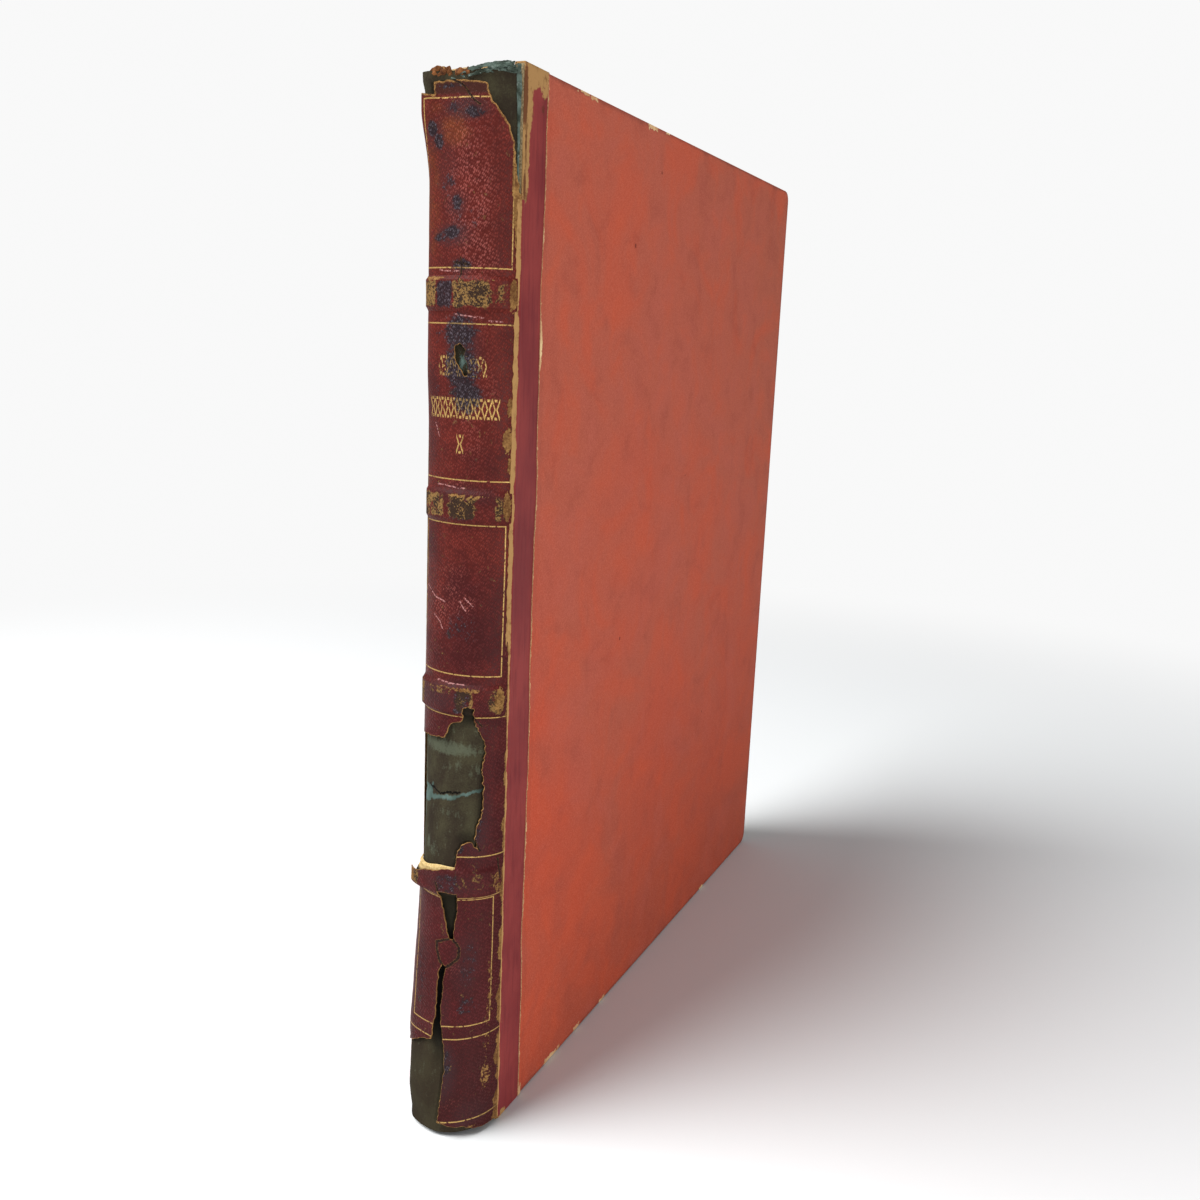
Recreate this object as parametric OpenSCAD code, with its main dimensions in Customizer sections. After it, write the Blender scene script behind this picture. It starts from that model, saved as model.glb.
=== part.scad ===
// Antique folio in quarter leather, with paper sides over millboards.
// It stands on its tail. The back of the book faces -Y, the front cover +X.
// The hollow back has come loose at the tail and its leather is torn.

/* [Covers] */
// Height of the book over its covers
cover_h = 340; // [260:1:420]
// Width of a cover, from the joint to the fore-edge
cover_w = 275; // [200:1:320]
// Thickness of the millboard in a cover
board_t = 2.8; // [2:0.1:4]
// Rounding of the fore-edge corners, bumped by use
corner_r = 5; // [2:0.5:9]
// Width of the leather that runs onto a cover
strip_w = 14.5; // [8:0.5:40]
// Thickness of the pared leather on a cover
strip_t = 0.6; // [0.45:0.05:1]
// Thickness of the side paper
side_paper_t = 0.35; // [0.2:0.05:0.4]
// Width of the edges turned over onto the inside
turn_in_w = 16; // [8:1:25]
// Margin of the turned-in edges that the pastedown leaves bare
bare_margin = 4; // [2:0.5:7]

/* [Book block] */
// Thickness of the pages, pressed together
pages_t = 22; // [14:0.5:45]
// How far the covers stand out past the pages
square_w = 3.5; // [2.8:0.1:6]
// Rounding of the back of the pages
back_round = 3.2; // [1.5:0.1:4]
// How far a shoulder of the back stands out past the pages
shoulder_w = 1.2; // [0.5:0.1:1.6]
// Hollow of the fore-edge
fore_hollow = 2.5; // [1:0.1:4]
// Thickness of an endpaper leaf
endpaper_t = 0.25; // [0.15:0.05:0.4]
// Thickness of the cloth pasted on the back of the pages
cloth_t = 0.3; // [0.2:0.05:0.5]
// Diameter of a sewing cord, let into a sawn groove
cord_d = 1.8; // [1:0.1:2.4]
// Diameter of the head and tail bands
endband_d = 2.2; // [1.6:0.1:2.6]
// Length of a cord's frayed slip, pasted into the board
slip_l = 24; // [12:1:30]
// Width of a slip at its frayed end
slip_w = 13; // [6:1:18]
// Depth to which a slip is let into the board
slip_t = 0.4; // [0.2:0.05:0.6]

/* [Back] */
// Thickness of the leather on the back
leather_t = 0.9; // [0.6:0.05:1.2]
// Thickness of the card that stiffens the leather
inlay_t = 0.4; // [0.25:0.05:0.5]
// Thickness of the paper that the hollow tube is folded from
tube_t = 0.3; // [0.2:0.05:0.4]
// How far the back stands out from the joint at the head
head_reach = 8.5; // [7.5:0.1:14]
// How much further the back stands out where it has pulled away beside the back cover
pull_reach = 1.2; // [0:0.1:2.5]
// How far the back stands out where it is still tight
waist_reach = 6.8; // [6.6:0.1:10]
// How far the loose back stands out at the tail
tail_reach = 18.5; // [11:0.5:22]
// Height up to which the back has come loose
loose_h = 190; // [140:1:230]
// Height of a raised band along the book
band_w = 8; // [5:0.5:14]
// How far a raised band stands out
band_rise = 1.2; // [0.8:0.1:2]
// Length of the slope at the edges of a band
band_slope = 1.2; // [0.8:0.1:2]
// How far the torn end of the lowest band has sprung out
band_spring = 4; // [0:0.5:5]
// Height of the leather's tail edge over the edges of the covers
leather_foot = 0.4; // [0.2:0.1:1]
// Height of the inlay's tail edge over the edges of the covers
inlay_foot = 1.5; // [1.2:0.1:3]
// How far the inlay stops short of the head
inlay_head = 4.5; // [3:0.5:8]
// Length of the leather turned in at the head, behind the hollow tube
headcap_l = 22; // [12:1:30]
// How far the cloth stops short of the ends of the pages
cloth_margin = 6; // [3:1:15]

/* [Fits] */
// Clearance of the back at the joints
joint_gap = 0.3; // [0.2:0.05:0.5]
// Clearance of a closed cover over the flyleaf
cover_gap = 0.3; // [0.2:0.05:0.5]
// Line of paste between two layers of the back
paste_gap = 0.05; // [0.02:0.01:0.08]

/* [Hidden] */
$fn = 96;

// Across the book, from the middle of the pages outwards
flyleaf_x = pages_t / 2;
pastedown_x = flyleaf_x + endpaper_t + cover_gap;
turn_in_x = pastedown_x + endpaper_t;
board_x = turn_in_x + side_paper_t;
strip_x = board_x + board_t;
half_t = strip_x + strip_t;

// Along the book, from the joint line at joint_y
joint_y = -(cover_w - tail_reach) / 2;
pages_h = cover_h - 2 * square_w;
pages_w = cover_w - square_w;

// The rounded back of the pages is one arc between the shoulders
shoulder_x = pages_t / 2 + shoulder_w;
shoulder_y = joint_y - joint_gap;
back_r = (pow(shoulder_x, 2) + pow(back_round, 2)) / (2 * back_round);
back_cy = shoulder_y - back_round + back_r;
// Turn, either side of the middle, that cords and end bands take across the back
cord_turn = asin((pages_t / 2 - cover_gap) / back_r);
fore_r = (pow(pages_t / 2, 2) + pow(fore_hollow, 2)) / (2 * fore_hollow);

// Heights of the five sewing cords and of the four bands, as shares of the height
CORD_PLACES = [0.09, 0.29, 0.5, 0.71, 0.91];
BAND_PLACES = [0.263, 0.441, 0.621, 0.808];

// The back: half its width, and where it starts to flare to the head
back_half = half_t - 0.2;
flare_h = cover_h * 0.6;
// Fullness of the back's section: 1 is an ellipse, more is a sharper crown
tight_crown = 1.5;
loose_crown = 1.05;
// Crown where the back has pulled away beside the back cover, the heights between
// which it does so at the head, and the height and share of the same at the tail
pulled_crown = 0.2;
pull_from = cover_h * 0.66;
pull_to = cover_h * 0.93;
tail_pull_h = cover_h * 0.26;
tail_pull = 0.4;
// Step across the back in degrees, and steps along a panel between two bands
TURN_STEP = 7.5;
PANEL_STEPS = 3;
// Ends of the layers of the back, in degrees from the joint. All layers share the same
// turns, so that none cuts another.
INLAY_FROM = 2 * TURN_STEP;
BAND_FROM = 3 * TURN_STEP;
TUBE_FROM = 4 * TURN_STEP;
HEADCAP_FROM = 5 * TURN_STEP;

// Outlines of the tears, seen from behind the book. The first number is a share of
// half the back's width, the second a share of the height of the panel.
HEAD_TEAR = [
  [-1.1, 0.86], [-0.93, 0.865], [-0.8, 0.855], [-0.79, 0.915], [-0.4, 0.91],
  [-0.13, 0.895], [0.43, 0.885], [0.5, 0.86], [0.55, 0.82], [0.63, 0.785],
  [0.75, 0.75], [0.82, 0.7], [0.86, 0.64], [0.9, 0.57], [0.94, 0.46],
  [0.97, 0.42], [1.1, 0.4], [1.1, 1.1], [-1.1, 1.1]
];
TITLE_HOLE = [
  [-0.14, 0.76], [0, 0.776], [0.11, 0.745], [0.09, 0.713], [0.17, 0.666],
  [0.16, 0.627], [0.1, 0.619], [-0.02, 0.658], [-0.11, 0.69]
];
MIDDLE_TEAR = [
  [-0.96, -0.03], [0.22, -0.03], [0.23, 0.06], [0.28, 0.13], [0.36, 0.19],
  [0.5, 0.2], [0.67, 0.1], [0.57, 0.24], [0.66, 0.3], [0.7, 0.36],
  [0.71, 0.5], [0.66, 0.57], [0.67, 0.63], [0.72, 0.7], [0.7, 0.78],
  [0.66, 0.85], [0.53, 0.88], [0.44, 0.93], [0.41, 1], [0.2, 1],
  [0.17, 0.95], [0.06, 0.93], [-0.05, 0.92], [-0.1, 0.89], [-0.12, 0.85],
  [-0.5, 0.83], [-0.72, 0.83], [-0.96, 0.82]
];
// One crack runs from the lowest band to the tail. It goes round a small flap that
// still hangs on at its upper right, and opens out below.
TAIL_TEAR = [
  [-1.1, -0.1], [-1.1, 0.32], [-0.93, 0.33], [-0.34, 0.4], [-0.08, 0.41],
  [-0.08, 0.46], [-0.02, 0.51], [0, 0.62], [0.03, 0.69], [0.045, 0.73],
  [-0.045, 0.76], [-0.12, 0.79], [-0.09, 0.815], [0.155, 0.835], [0.15, 0.86],
  [0.09, 0.905], [-0.03, 0.965], [-0.12, 0.98], [0.26, 0.98], [0.25, 0.915],
  [0.28, 0.87], [0.285, 0.83], [0.22, 0.828], [-0.045, 0.804], [-0.07, 0.79],
  [0.005, 0.762], [0.095, 0.733], [0.17, 0.727], [0.345, 0.742], [0.355, 0.785],
  [0.31, 0.808], [0.35, 0.815], [0.405, 0.79], [0.4, 0.735], [0.17, 0.715],
  [0.09, 0.69], [0.1, 0.61], [0.07, 0.55], [0.1, 0.49], [0.17, 0.42],
  [0.24, 0.36], [0.25, 0.29], [0.2, 0.16], [0.15, 0.07], [0.37, 0.05],
  [0.65, 0.04], [0.84, 0.01], [0.9, -0.1]
];
// Torn head edges of the hollow tube and of the headcap's remains
TUBE_TEAR = [
  [-1.1, 0.955], [-0.7, 0.96], [-0.5, 0.985], [-0.3, 0.96], [-0.05, 0.99],
  [0.2, 0.965], [0.45, 0.99], [0.7, 0.96], [1.1, 0.98], [1.1, 1.1], [-1.1, 1.1]
];
HEADCAP_TEAR = [
  [-0.78, 0.6], [-0.76, 0.94], [-0.55, 0.99], [-0.35, 0.975], [-0.1, 0.995],
  [0.12, 0.97], [0.2, 0.92], [0.16, 0.6]
];

function clamp01(v) = max(0, min(1, v));
function ease(v) = let (c = clamp01(v)) c * c * (3 - 2 * c);
function band_z(i) = cover_h * BAND_PLACES[i];

// How much the back has pulled away, from 0 to 1, at a turn and a height z
function pulled(turn, z) =
  let (
    head = 1 - pow(1 - clamp01((z - pull_from) / (pull_to - pull_from)), 2.5),
    tail = tail_pull * ease((tail_pull_h - z) / tail_pull_h * 1.8)
  )
  ease((turn - 90) / 50) * max(head, tail);
// How far the bare back stands out there, and the crown of its section
function reach(turn, z) =
  waist_reach
  + (tail_reach - waist_reach) * pow(clamp01(1 - z / loose_h), 1.1)
  + (head_reach - waist_reach) * pow(clamp01((z - flare_h) / (cover_h - flare_h)), 2)
  + pull_reach * pulled(turn, z);
function crown(turn, z) =
  let (bare = loose_crown + (tight_crown - loose_crown) * clamp01(z / loose_h))
  bare + (pulled_crown - bare) * pulled(turn, z);

// Height of the band, if any, that lifts the leather at height z
function band_lift(z, i) =
  band_rise * clamp01((band_w / 2 + band_slope - abs(z - band_z(i))) / band_slope);
function lift(z) = max([for (i = [0:3]) band_lift(z, i)]);
// The bands die away towards the joints
function band_fade(turn) = ease((min(turn, 180 - turn) - 6) / 30);
// The torn end of the lowest band springs away from the pages
function spring(turn, z) =
  band_spring * ease((turn - 105) / 60) * band_lift(z, 0) / band_rise;

// Section of the back's face at height z, from the joint line
function back_curve(turn, z) =
  [back_half * cos(turn), -reach(turn, z) * pow(max(0, sin(turn)), crown(turn, z))];
// Point of the back, at a turn of 0 to 180 degrees from joint to joint, at height z,
// and at a depth under the face of the leather between the bands
function back_point(turn, z, depth, sprung = 0) =
  let (
    t = max(4, min(176, turn)),
    way = back_curve(t + 1, z) - back_curve(t - 1, z),
    in = [way[1], -way[0]] / norm(way) * depth,
    p = back_curve(turn, z) + in
  )
  [p[0], joint_y - joint_gap - sprung + min(0, p[1]), z];
// Turns of a layer's points, from one end of the layer to the other
function layer_turns(from) =
  [for (i = [0:(180 - 2 * from) / TURN_STEP]) from + i * TURN_STEP];

// A closed loop round one layer of the back at one height
function layer_loop(z, from, top, bottom, lifted) =
  let (turns = layer_turns(from))
  concat(
    [for (t = turns)
      back_point(t, z, top - (lifted ? lift(z) * band_fade(t) : 0),
        lifted ? spring(t, z) : 0)],
    [for (i = [len(turns) - 1:-1:0]) let (t = turns[i])
      back_point(t, z, bottom - (lifted ? lift(z) * band_fade(t) : 0),
        lifted ? spring(t, z) : 0)]
  );

// Heights at which every layer of the back has a loop: along each panel, and at the
// foot, edges and middle of each band. All layers share them, so none cuts another.
function panel_zs(z0, z1) = [for (k = [0:PANEL_STEPS]) z0 + (z1 - z0) * k / PANEL_STEPS];
function back_zs() =
  let (
    edge = band_w / 2,
    foot = edge + band_slope,
    lows = [leather_foot, for (i = [0:3]) band_z(i) + foot],
    highs = [for (i = [0:3]) band_z(i) - foot, cover_h]
  )
  [for (k = [0:4]) each concat(
    panel_zs(lows[k], highs[k]),
    k < 4 ? [band_z(k) - edge, band_z(k), band_z(k) + edge] : []
  )];
// The shared heights that lie between the two ends of a layer, and its ends
function layer_zs(z0, z1) = [z0, for (z = back_zs()) if (z > z0 + 1 && z < z1 - 1) z, z1];

// A wall between two loops of m points, as triangles. On the way back along a layer's
// other face they are split the other way, so faces that lie on one another match.
function wall_faces(k, i, m, back, base = 0) =
  let (
    a = base + k * m + i,
    b = base + k * m + (i + 1) % m,
    c = b + m,
    d = a + m
  )
  back ? [[a, b, d], [b, c, d]] : [[a, b, c], [a, c, d]];

// Solid through a stack of loops. Each loop runs out along a layer's face and comes
// back along its other face, so both ends close with a strip of quads.
module layer_solid(loops) {
  m = len(loops[0]);
  n = len(loops);
  walls = [for (k = [0:n - 2]) for (i = [0:m - 1]) each wall_faces(k, i, m, i >= m / 2)];
  foot = [for (i = [0:m / 2 - 2]) [m - 1 - i, m - 2 - i, i + 1, i]];
  top = [for (i = [0:m / 2 - 2])
    [(n - 1) * m + i, (n - 1) * m + i + 1, n * m - 2 - i, n * m - 1 - i]];
  polyhedron(points = [for (l = loops) each l], faces = concat(walls, foot, top),
    convexity = 8);
}

module back_layer(zs, from, top, bottom, lifted = false) {
  layer_solid([for (z = zs) layer_loop(z, from, top, bottom, lifted)]);
}

// Cutter for a tear: its outline, pushed through the back along Y
module tear(outline, z0, z1) {
  translate([0, joint_y + 5, 0])
    rotate([90, 0, 0])
      linear_extrude(tail_reach + 20)
        polygon([for (p = outline) [p[0] * back_half, z0 + p[1] * (z1 - z0)]]);
}

// Plan of the pages: flat sides, rounded back with shoulders, hollow fore-edge
module pages_plan() {
  difference() {
    union() {
      translate([-pages_t / 2, shoulder_y - 0.5])
        square([pages_t, pages_w + joint_gap + 0.5]);
      intersection() {
        translate([0, back_cy])
          circle(r = back_r);
        translate([-shoulder_x, shoulder_y - back_round])
          square([2 * shoulder_x, back_round]);
      }
    }
    translate([0, joint_y + pages_w - fore_hollow + fore_r])
      circle(r = fore_r);
  }
}

// Sweeps a section across the back, about the centre of its rounding
module across_back() {
  translate([0, back_cy, 0])
    rotate([0, 0, -90 - cord_turn])
      rotate_extrude(angle = 2 * cord_turn)
        children();
}

module text_block() {
  color("#cdbf9c")
    difference() {
      translate([0, 0, square_w])
        linear_extrude(pages_h)
          pages_plan();
      for (share = CORD_PLACES)
        translate([0, 0, cover_h * share])
          cord_groove();
    }
}

module cord_groove() {
  across_back()
    translate([back_r - cord_d - paste_gap, -cord_d / 2 - paste_gap])
      square([2 * cord_d, cord_d + 2 * paste_gap]);
}

module sewing_cord(i) {
  color("#b59a6b")
    translate([0, 0, cover_h * CORD_PLACES[i]])
      across_back()
        translate([back_r - cord_d / 2, 0])
          circle(d = cord_d);
}

module spine_cloth() {
  color("#a89a78")
    translate([0, 0, square_w + cloth_margin])
      linear_extrude(pages_h - 2 * cloth_margin)
        intersection() {
          difference() {
            translate([0, back_cy])
              circle(r = back_r + paste_gap + cloth_t);
            translate([0, back_cy])
              circle(r = back_r + paste_gap);
          }
          translate([-shoulder_x + 1, shoulder_y - back_round - 1])
            square([2 * shoulder_x - 2, back_round + 1]);
        }
}

module end_band(z) {
  color("#b8a06a")
    translate([0, 0, z])
      across_back()
        translate([back_r - endband_d / 2, 0])
          circle(d = endband_d);
}

module head_band() {
  end_band(square_w + pages_h + endband_d / 2);
}

module tail_band() {
  end_band(square_w - endband_d / 2);
}

module flyleaf(side) {
  color("#c9b98f")
    translate([side > 0 ? flyleaf_x : -flyleaf_x - endpaper_t, joint_y, square_w])
      cube([endpaper_t, pages_w - fore_hollow, pages_h]);
}

// Folded paper tube: one wall is pasted to the pages, the other to the inlay, and the
// hollow between them opens as the back comes loose
function tube_loop(z, grow) =
  let (
    top = leather_t + inlay_t + 2 * paste_gap + grow,
    from = TUBE_FROM + grow * 8,
    steps = len(layer_turns(TUBE_FROM)) - 1,
    r = back_r + cloth_t + 2 * paste_gap + grow,
    side = asin((shoulder_x - 2.2 - grow) / r)
  )
  concat(
    [for (i = [0:steps])
      back_point(from + (180 - 2 * from) * i / steps, z, top)],
    [for (i = [steps:-1:0]) let (t = side - 2 * side * i / steps)
      [r * sin(t), back_cy - r * cos(t), z]]
  );

module tube_solid(outer, inner) {
  m = len(outer[0]);
  n = len(outer);
  all = n * m;
  outside = [for (k = [0:n - 2]) for (i = [0:m - 1]) each wall_faces(k, i, m, i >= m / 2)];
  inside = [for (k = [0:n - 2]) for (i = [0:m - 1])
    for (face = wall_faces(k, i, m, i >= m / 2, all)) [face[2], face[1], face[0]]];
  foot = [for (i = [0:m - 1]) let (j = (i + 1) % m) [all + i, all + j, j, i]];
  top = [for (i = [0:m - 1]) let (j = (i + 1) % m)
    [all - m + i, all - m + j, 2 * all - m + j, 2 * all - m + i]];
  polyhedron(points = concat([for (l = outer) each l], [for (l = inner) each l]),
    faces = concat(outside, inside, foot, top), convexity = 8);
}

module hollow_tube() {
  zs = layer_zs(square_w + paste_gap, cover_h);
  color("#4f7a78")
    difference() {
      tube_solid([for (z = zs) tube_loop(z, 0)], [for (z = zs) tube_loop(z, tube_t)]);
      tear(TUBE_TEAR, band_z(3), cover_h);
    }
}

// Dark card that stiffens the leather of the back
module spine_inlay() {
  color("#3f3d32")
    back_layer(layer_zs(inlay_foot, cover_h - inlay_head), INLAY_FROM,
      leather_t + paste_gap, leather_t + paste_gap + inlay_t);
}

// Strip of card under the leather, which makes a false raised band
module raised_band(i) {
  edge = band_w / 2;
  foot = edge + band_slope * 0.6;
  zs = [for (d = [-foot, -edge, 0, edge, foot]) band_z(i) + d];
  color("#dcc797")
    layer_solid([for (z = zs) band_loop(z, i)]);
}

function band_loop(z, i) =
  let (
    turns = layer_turns(BAND_FROM),
    sprung = i == 0 ? 1 : 0
  )
  concat(
    [for (t = turns)
      back_point(t, z, leather_t + paste_gap - lift(z) * band_fade(t), sprung * spring(t, z))],
    [for (k = [len(turns) - 1:-1:0])
      back_point(turns[k], z, leather_t, sprung * spring(turns[k], z))]
  );

// Leather of the back, moulded over the bands and torn in four places
module spine_leather() {
  color("#6b2a2c")
    difference() {
      back_layer(back_zs(), 0, 0, leather_t, true);
      tear(HEAD_TEAR, band_z(3) + band_w / 2, cover_h);
      tear(TITLE_HOLE, band_z(2), band_z(3));
      tear(MIDDLE_TEAR, band_z(0) + band_w / 2 + 1, band_z(1) - band_w / 2 - 1);
      tear(TAIL_TEAR, 0, band_z(0) - band_w / 2 - 1);
    }
}

// What is left of the headcap, turned in behind the hollow tube
module headcap_remnant() {
  top = leather_t + inlay_t + tube_t + 3 * paste_gap;
  color("#6e4a2c")
    intersection() {
      back_layer(layer_zs(cover_h - headcap_l, cover_h - leather_foot), HEADCAP_FROM,
        top, top + strip_t);
      tear(HEADCAP_TEAR, band_z(3), cover_h);
    }
}

// Line along which the leather ends on a cover, cut by hand and a little uneven
function strip_edge(z) =
  strip_w + 0.35 * sin(z / cover_h * 1260) + 0.2 * sin(z / cover_h * 2900 + 50);
function edge_points() =
  [for (k = [0:20]) let (z = cover_h * k / 20) [strip_edge(z), z]];

// Cover outline seen from the side, with bumped fore-edge corners. It starts at the
// joint, and inset draws it in from the outside at the head, tail and fore-edge.
module cover_outline(inset) {
  w = cover_w - inset;
  h = cover_h - 2 * inset;
  r = corner_r - inset;
  translate([0, inset]) {
    square([w - r, h]);
    translate([w - r, r])
      square([r, h - 2 * r]);
    for (y = [r, h - r])
      translate([w - r, y])
        circle(r = r);
  }
}

// Sheet lying across the book, drawn in the plane of the cover, from x0 to x1
module cover_sheet(x0, x1) {
  translate([x0, joint_y, 0])
    rotate([90, 0, 90])
      linear_extrude(x1 - x0)
        children();
}

// Piece of a cover, drawn for the front and mirrored for the back
module on_side(side) {
  mirror([side > 0 ? 0 : 1, 0, 0])
    children();
}

// The frayed slip of a cord: narrow at the joint, fanned out on the board
module slip_plan(share, grow) {
  z = cover_h * share;
  polygon([
    [-0.01, z - cord_d / 2 - grow], [slip_l * 0.35, z - slip_w * 0.32 - grow],
    [slip_l + grow, z - slip_w / 2 - grow], [slip_l + grow, z + slip_w / 2 + grow],
    [slip_l * 0.35, z + slip_w * 0.32 + grow], [-0.01, z + cord_d / 2 + grow]
  ]);
}

module board(side) {
  color("#8f8468")
    on_side(side)
      difference() {
        cover_sheet(board_x, strip_x)
          cover_outline(strip_t);
        for (share = CORD_PLACES)
          cover_sheet(board_x - 1, board_x + slip_t)
            slip_plan(share, paste_gap);
      }
}

module cord_slips(side) {
  color("#b59a6b")
    on_side(side)
      for (share = CORD_PLACES)
        cover_sheet(board_x, board_x + slip_t)
          slip_plan(share, 0);
}

// Leather on a cover: a strip beside the joint, turned in at the head and tail
module cover_leather(side) {
  color("#7a3138")
    on_side(side)
      difference() {
        cover_sheet(turn_in_x, half_t)
          polygon(concat([[0, cover_h], [0, 0]], edge_points()));
        cover_sheet(board_x, strip_x)
          cover_outline(strip_t);
        cover_sheet(turn_in_x - 1, board_x + 1)
          translate([-1, turn_in_w])
            square([strip_w + 10, cover_h - 2 * turn_in_w]);
      }
}

// Side paper: face, and edges turned in at the head, tail and fore-edge
module side_paper(side) {
  color("#b04e3a")
    on_side(side)
      difference() {
        cover_sheet(turn_in_x, strip_x + side_paper_t)
          cover_outline(strip_t - side_paper_t);
        cover_sheet(board_x, strip_x)
          cover_outline(strip_t);
        cover_sheet(turn_in_x - 1, board_x + 1)
          translate([-1, turn_in_w])
            square([cover_w - turn_in_w + 1, cover_h - 2 * turn_in_w]);
        cover_sheet(turn_in_x - 1, half_t + 1)
          polygon(concat([[-1, cover_h + 1], [-1, -1], [strip_edge(0), -1]],
            edge_points(), [[strip_edge(cover_h), cover_h + 1]]));
      }
}

// Thin paper that levels the inside of the board between the turned-in edges
module infill(side) {
  color("#b7a884")
    on_side(side)
      cover_sheet(turn_in_x, board_x)
        translate([0, turn_in_w + paste_gap])
          square([cover_w - turn_in_w - paste_gap, cover_h - 2 * (turn_in_w + paste_gap)]);
}

module pastedown(side) {
  color("#c9b98f")
    on_side(side)
      cover_sheet(pastedown_x, turn_in_x)
        translate([0, bare_margin])
          square([cover_w - bare_margin, cover_h - 2 * bare_margin]);
}

text_block();
flyleaf(1);  // front_flyleaf
flyleaf(-1);  // back_flyleaf
spine_cloth();
sewing_cord(0);  // sewing_cord_1
sewing_cord(1);  // sewing_cord_2
sewing_cord(2);  // sewing_cord_3
sewing_cord(3);  // sewing_cord_4
sewing_cord(4);  // sewing_cord_5
head_band();
tail_band();
hollow_tube();
spine_inlay();
raised_band(3);  // raised_band_1
raised_band(2);  // raised_band_2
raised_band(1);  // raised_band_3
raised_band(0);  // raised_band_4
spine_leather();
headcap_remnant();
board(1);  // front_board
cover_leather(1);  // front_leather
side_paper(1);  // front_side_paper
infill(1);  // front_infill
pastedown(1);  // front_pastedown
cord_slips(1);  // front_cord_slips
board(-1);  // back_board
cover_leather(-1);  // back_leather
side_paper(-1);  // back_side_paper
infill(-1);  // back_infill
pastedown(-1);  // back_pastedown
cord_slips(-1);  // back_cord_slips
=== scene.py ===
from functools import lru_cache, reduce
import math
import random

import bmesh
import bpy
import numpy as np
from mathutils import Matrix, Vector, noise


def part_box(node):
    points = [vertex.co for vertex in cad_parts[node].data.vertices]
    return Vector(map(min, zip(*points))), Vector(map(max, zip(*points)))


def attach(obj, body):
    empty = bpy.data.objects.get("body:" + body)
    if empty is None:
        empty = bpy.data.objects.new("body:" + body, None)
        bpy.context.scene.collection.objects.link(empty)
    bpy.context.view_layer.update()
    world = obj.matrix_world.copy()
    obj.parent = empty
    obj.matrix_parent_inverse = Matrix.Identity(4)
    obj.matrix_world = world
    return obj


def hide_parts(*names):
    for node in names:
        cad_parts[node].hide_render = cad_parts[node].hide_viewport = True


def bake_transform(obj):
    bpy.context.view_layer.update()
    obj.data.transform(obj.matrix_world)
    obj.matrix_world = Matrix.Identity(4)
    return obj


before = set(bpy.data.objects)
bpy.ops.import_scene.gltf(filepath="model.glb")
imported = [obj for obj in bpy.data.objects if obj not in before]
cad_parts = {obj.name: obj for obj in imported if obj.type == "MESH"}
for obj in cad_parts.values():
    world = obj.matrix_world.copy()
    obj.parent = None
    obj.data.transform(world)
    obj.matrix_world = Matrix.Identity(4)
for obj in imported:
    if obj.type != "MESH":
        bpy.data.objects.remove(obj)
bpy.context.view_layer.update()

MM = 0.001
METRE = 1000
SHARP_DEGREES = 38
AT_EDGE = 1e-6
SAME_PLACE = 0.001
COVERS = {1: "front", -1: "back"}


# Sizes read from the frame

def lowest(node):
    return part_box(node)[0] / MM


def highest(node):
    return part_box(node)[1] / MM


cover_h = highest("front_leather").z
half_t = highest("front_leather").x
joint_y = lowest("front_leather").y
fore_y = highest("front_board").y + 0.6
cover_w = fore_y - joint_y
strip_x = highest("front_board").x
turn_in_x = lowest("front_side_paper").x
back_half = highest("spine_leather").x
pages_low = lowest("text_block").z

# Sizes of the binding that the frame doesn't give
joint_gap = 0.3
leather_t = 0.9
inlay_t = 0.4
tube_t = 0.3
paste_gap = 0.05
strip_w = 14.5
strip_t = 0.6
side_paper_t = 0.35
turn_in_w = 16
corner_r = 5
head_reach = 8.5
waist_reach = 6.8
tail_reach = 18.5
loose_h = 190
flare_h = cover_h * 0.6
tight_crown = 1.5
loose_crown = 1.05
pull_reach = 1.2
pulled_crown = 0.2
tail_pull_h = cover_h * 0.26
tail_pull = 0.4
band_w = 8
band_rise = 1.2
band_slope = 1.2
band_spring = 4
leather_foot = 0.4
pages_round_r = 24.86
pages_back = 3.2
tube_half = 10
edge_roll = 0.4
band_card_t = 0.35
joint_leather_t = 0.15
joint_leather_half = 1.6
JOINT_LEATHER_TOPS = {1: 302, -1: 331}
scrap_t = 0.22
joint_scrap_t = 0.25
headcap_t = 0.55
headcap_depth = 1.75
BAND_PLACES = [0.263, 0.441, 0.621, 0.808]
BAND_ZS = [cover_h * share for share in BAND_PLACES]

# Outlines of the tears as (x, z), seen from behind the back
HEAD_TEAR = [
    (-17, 330.9), (-14.3, 331), (-9.4, 330), (-9.3, 333.7), (-2, 333.8), (4.5, 333.3),
    (7, 333), (8.2, 329.2), (9.3, 327.4), (10.8, 325.5), (12, 323.5), (12.9, 321.5),
    (13.7, 317.5), (14.2, 311.5), (14.6, 307), (15.2, 303.4), (17, 303), (17, 350), (-17, 350),
]
TITLE_HOLE = [
    (-2.1, 259.5), (0, 260.5), (1.7, 258.5), (1.4, 256.5), (2.6, 253.5), (2.4, 251),
    (1.5, 250.5), (-0.3, 253), (-1.7, 255),
]
MIDDLE_TEAR = [
    (-17, 84.7), (-13.5, 85), (-13.3, 87.5), (-13.6, 90.6), (-9, 91), (-3, 93), (3.9, 94.6),
    (4, 99), (5.1, 102), (6.8, 103.5),
    (8.4, 103.6), (10, 101), (9, 105), (9.6, 108.5), (10.6, 112.5), (10.9, 121),
    (10.2, 127), (10.9, 134), (10.3, 138), (8.2, 142), (7.5, 145), (7.4, 148.2),
    (4.1, 148.2), (4.2, 145), (3.3, 143), (0.4, 142), (-0.6, 140.5), (-1.9, 137.4),
    (-7.6, 136.5), (-17, 136),
]
CRACK_TOP = [
    (-1.2, 86.6), (5.1, 86.4), (5.3, 80), (4.7, 74), (4.5, 70.4), (3.1, 70.4), (1.7, 76),
    (0.2, 81.8),
]
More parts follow.
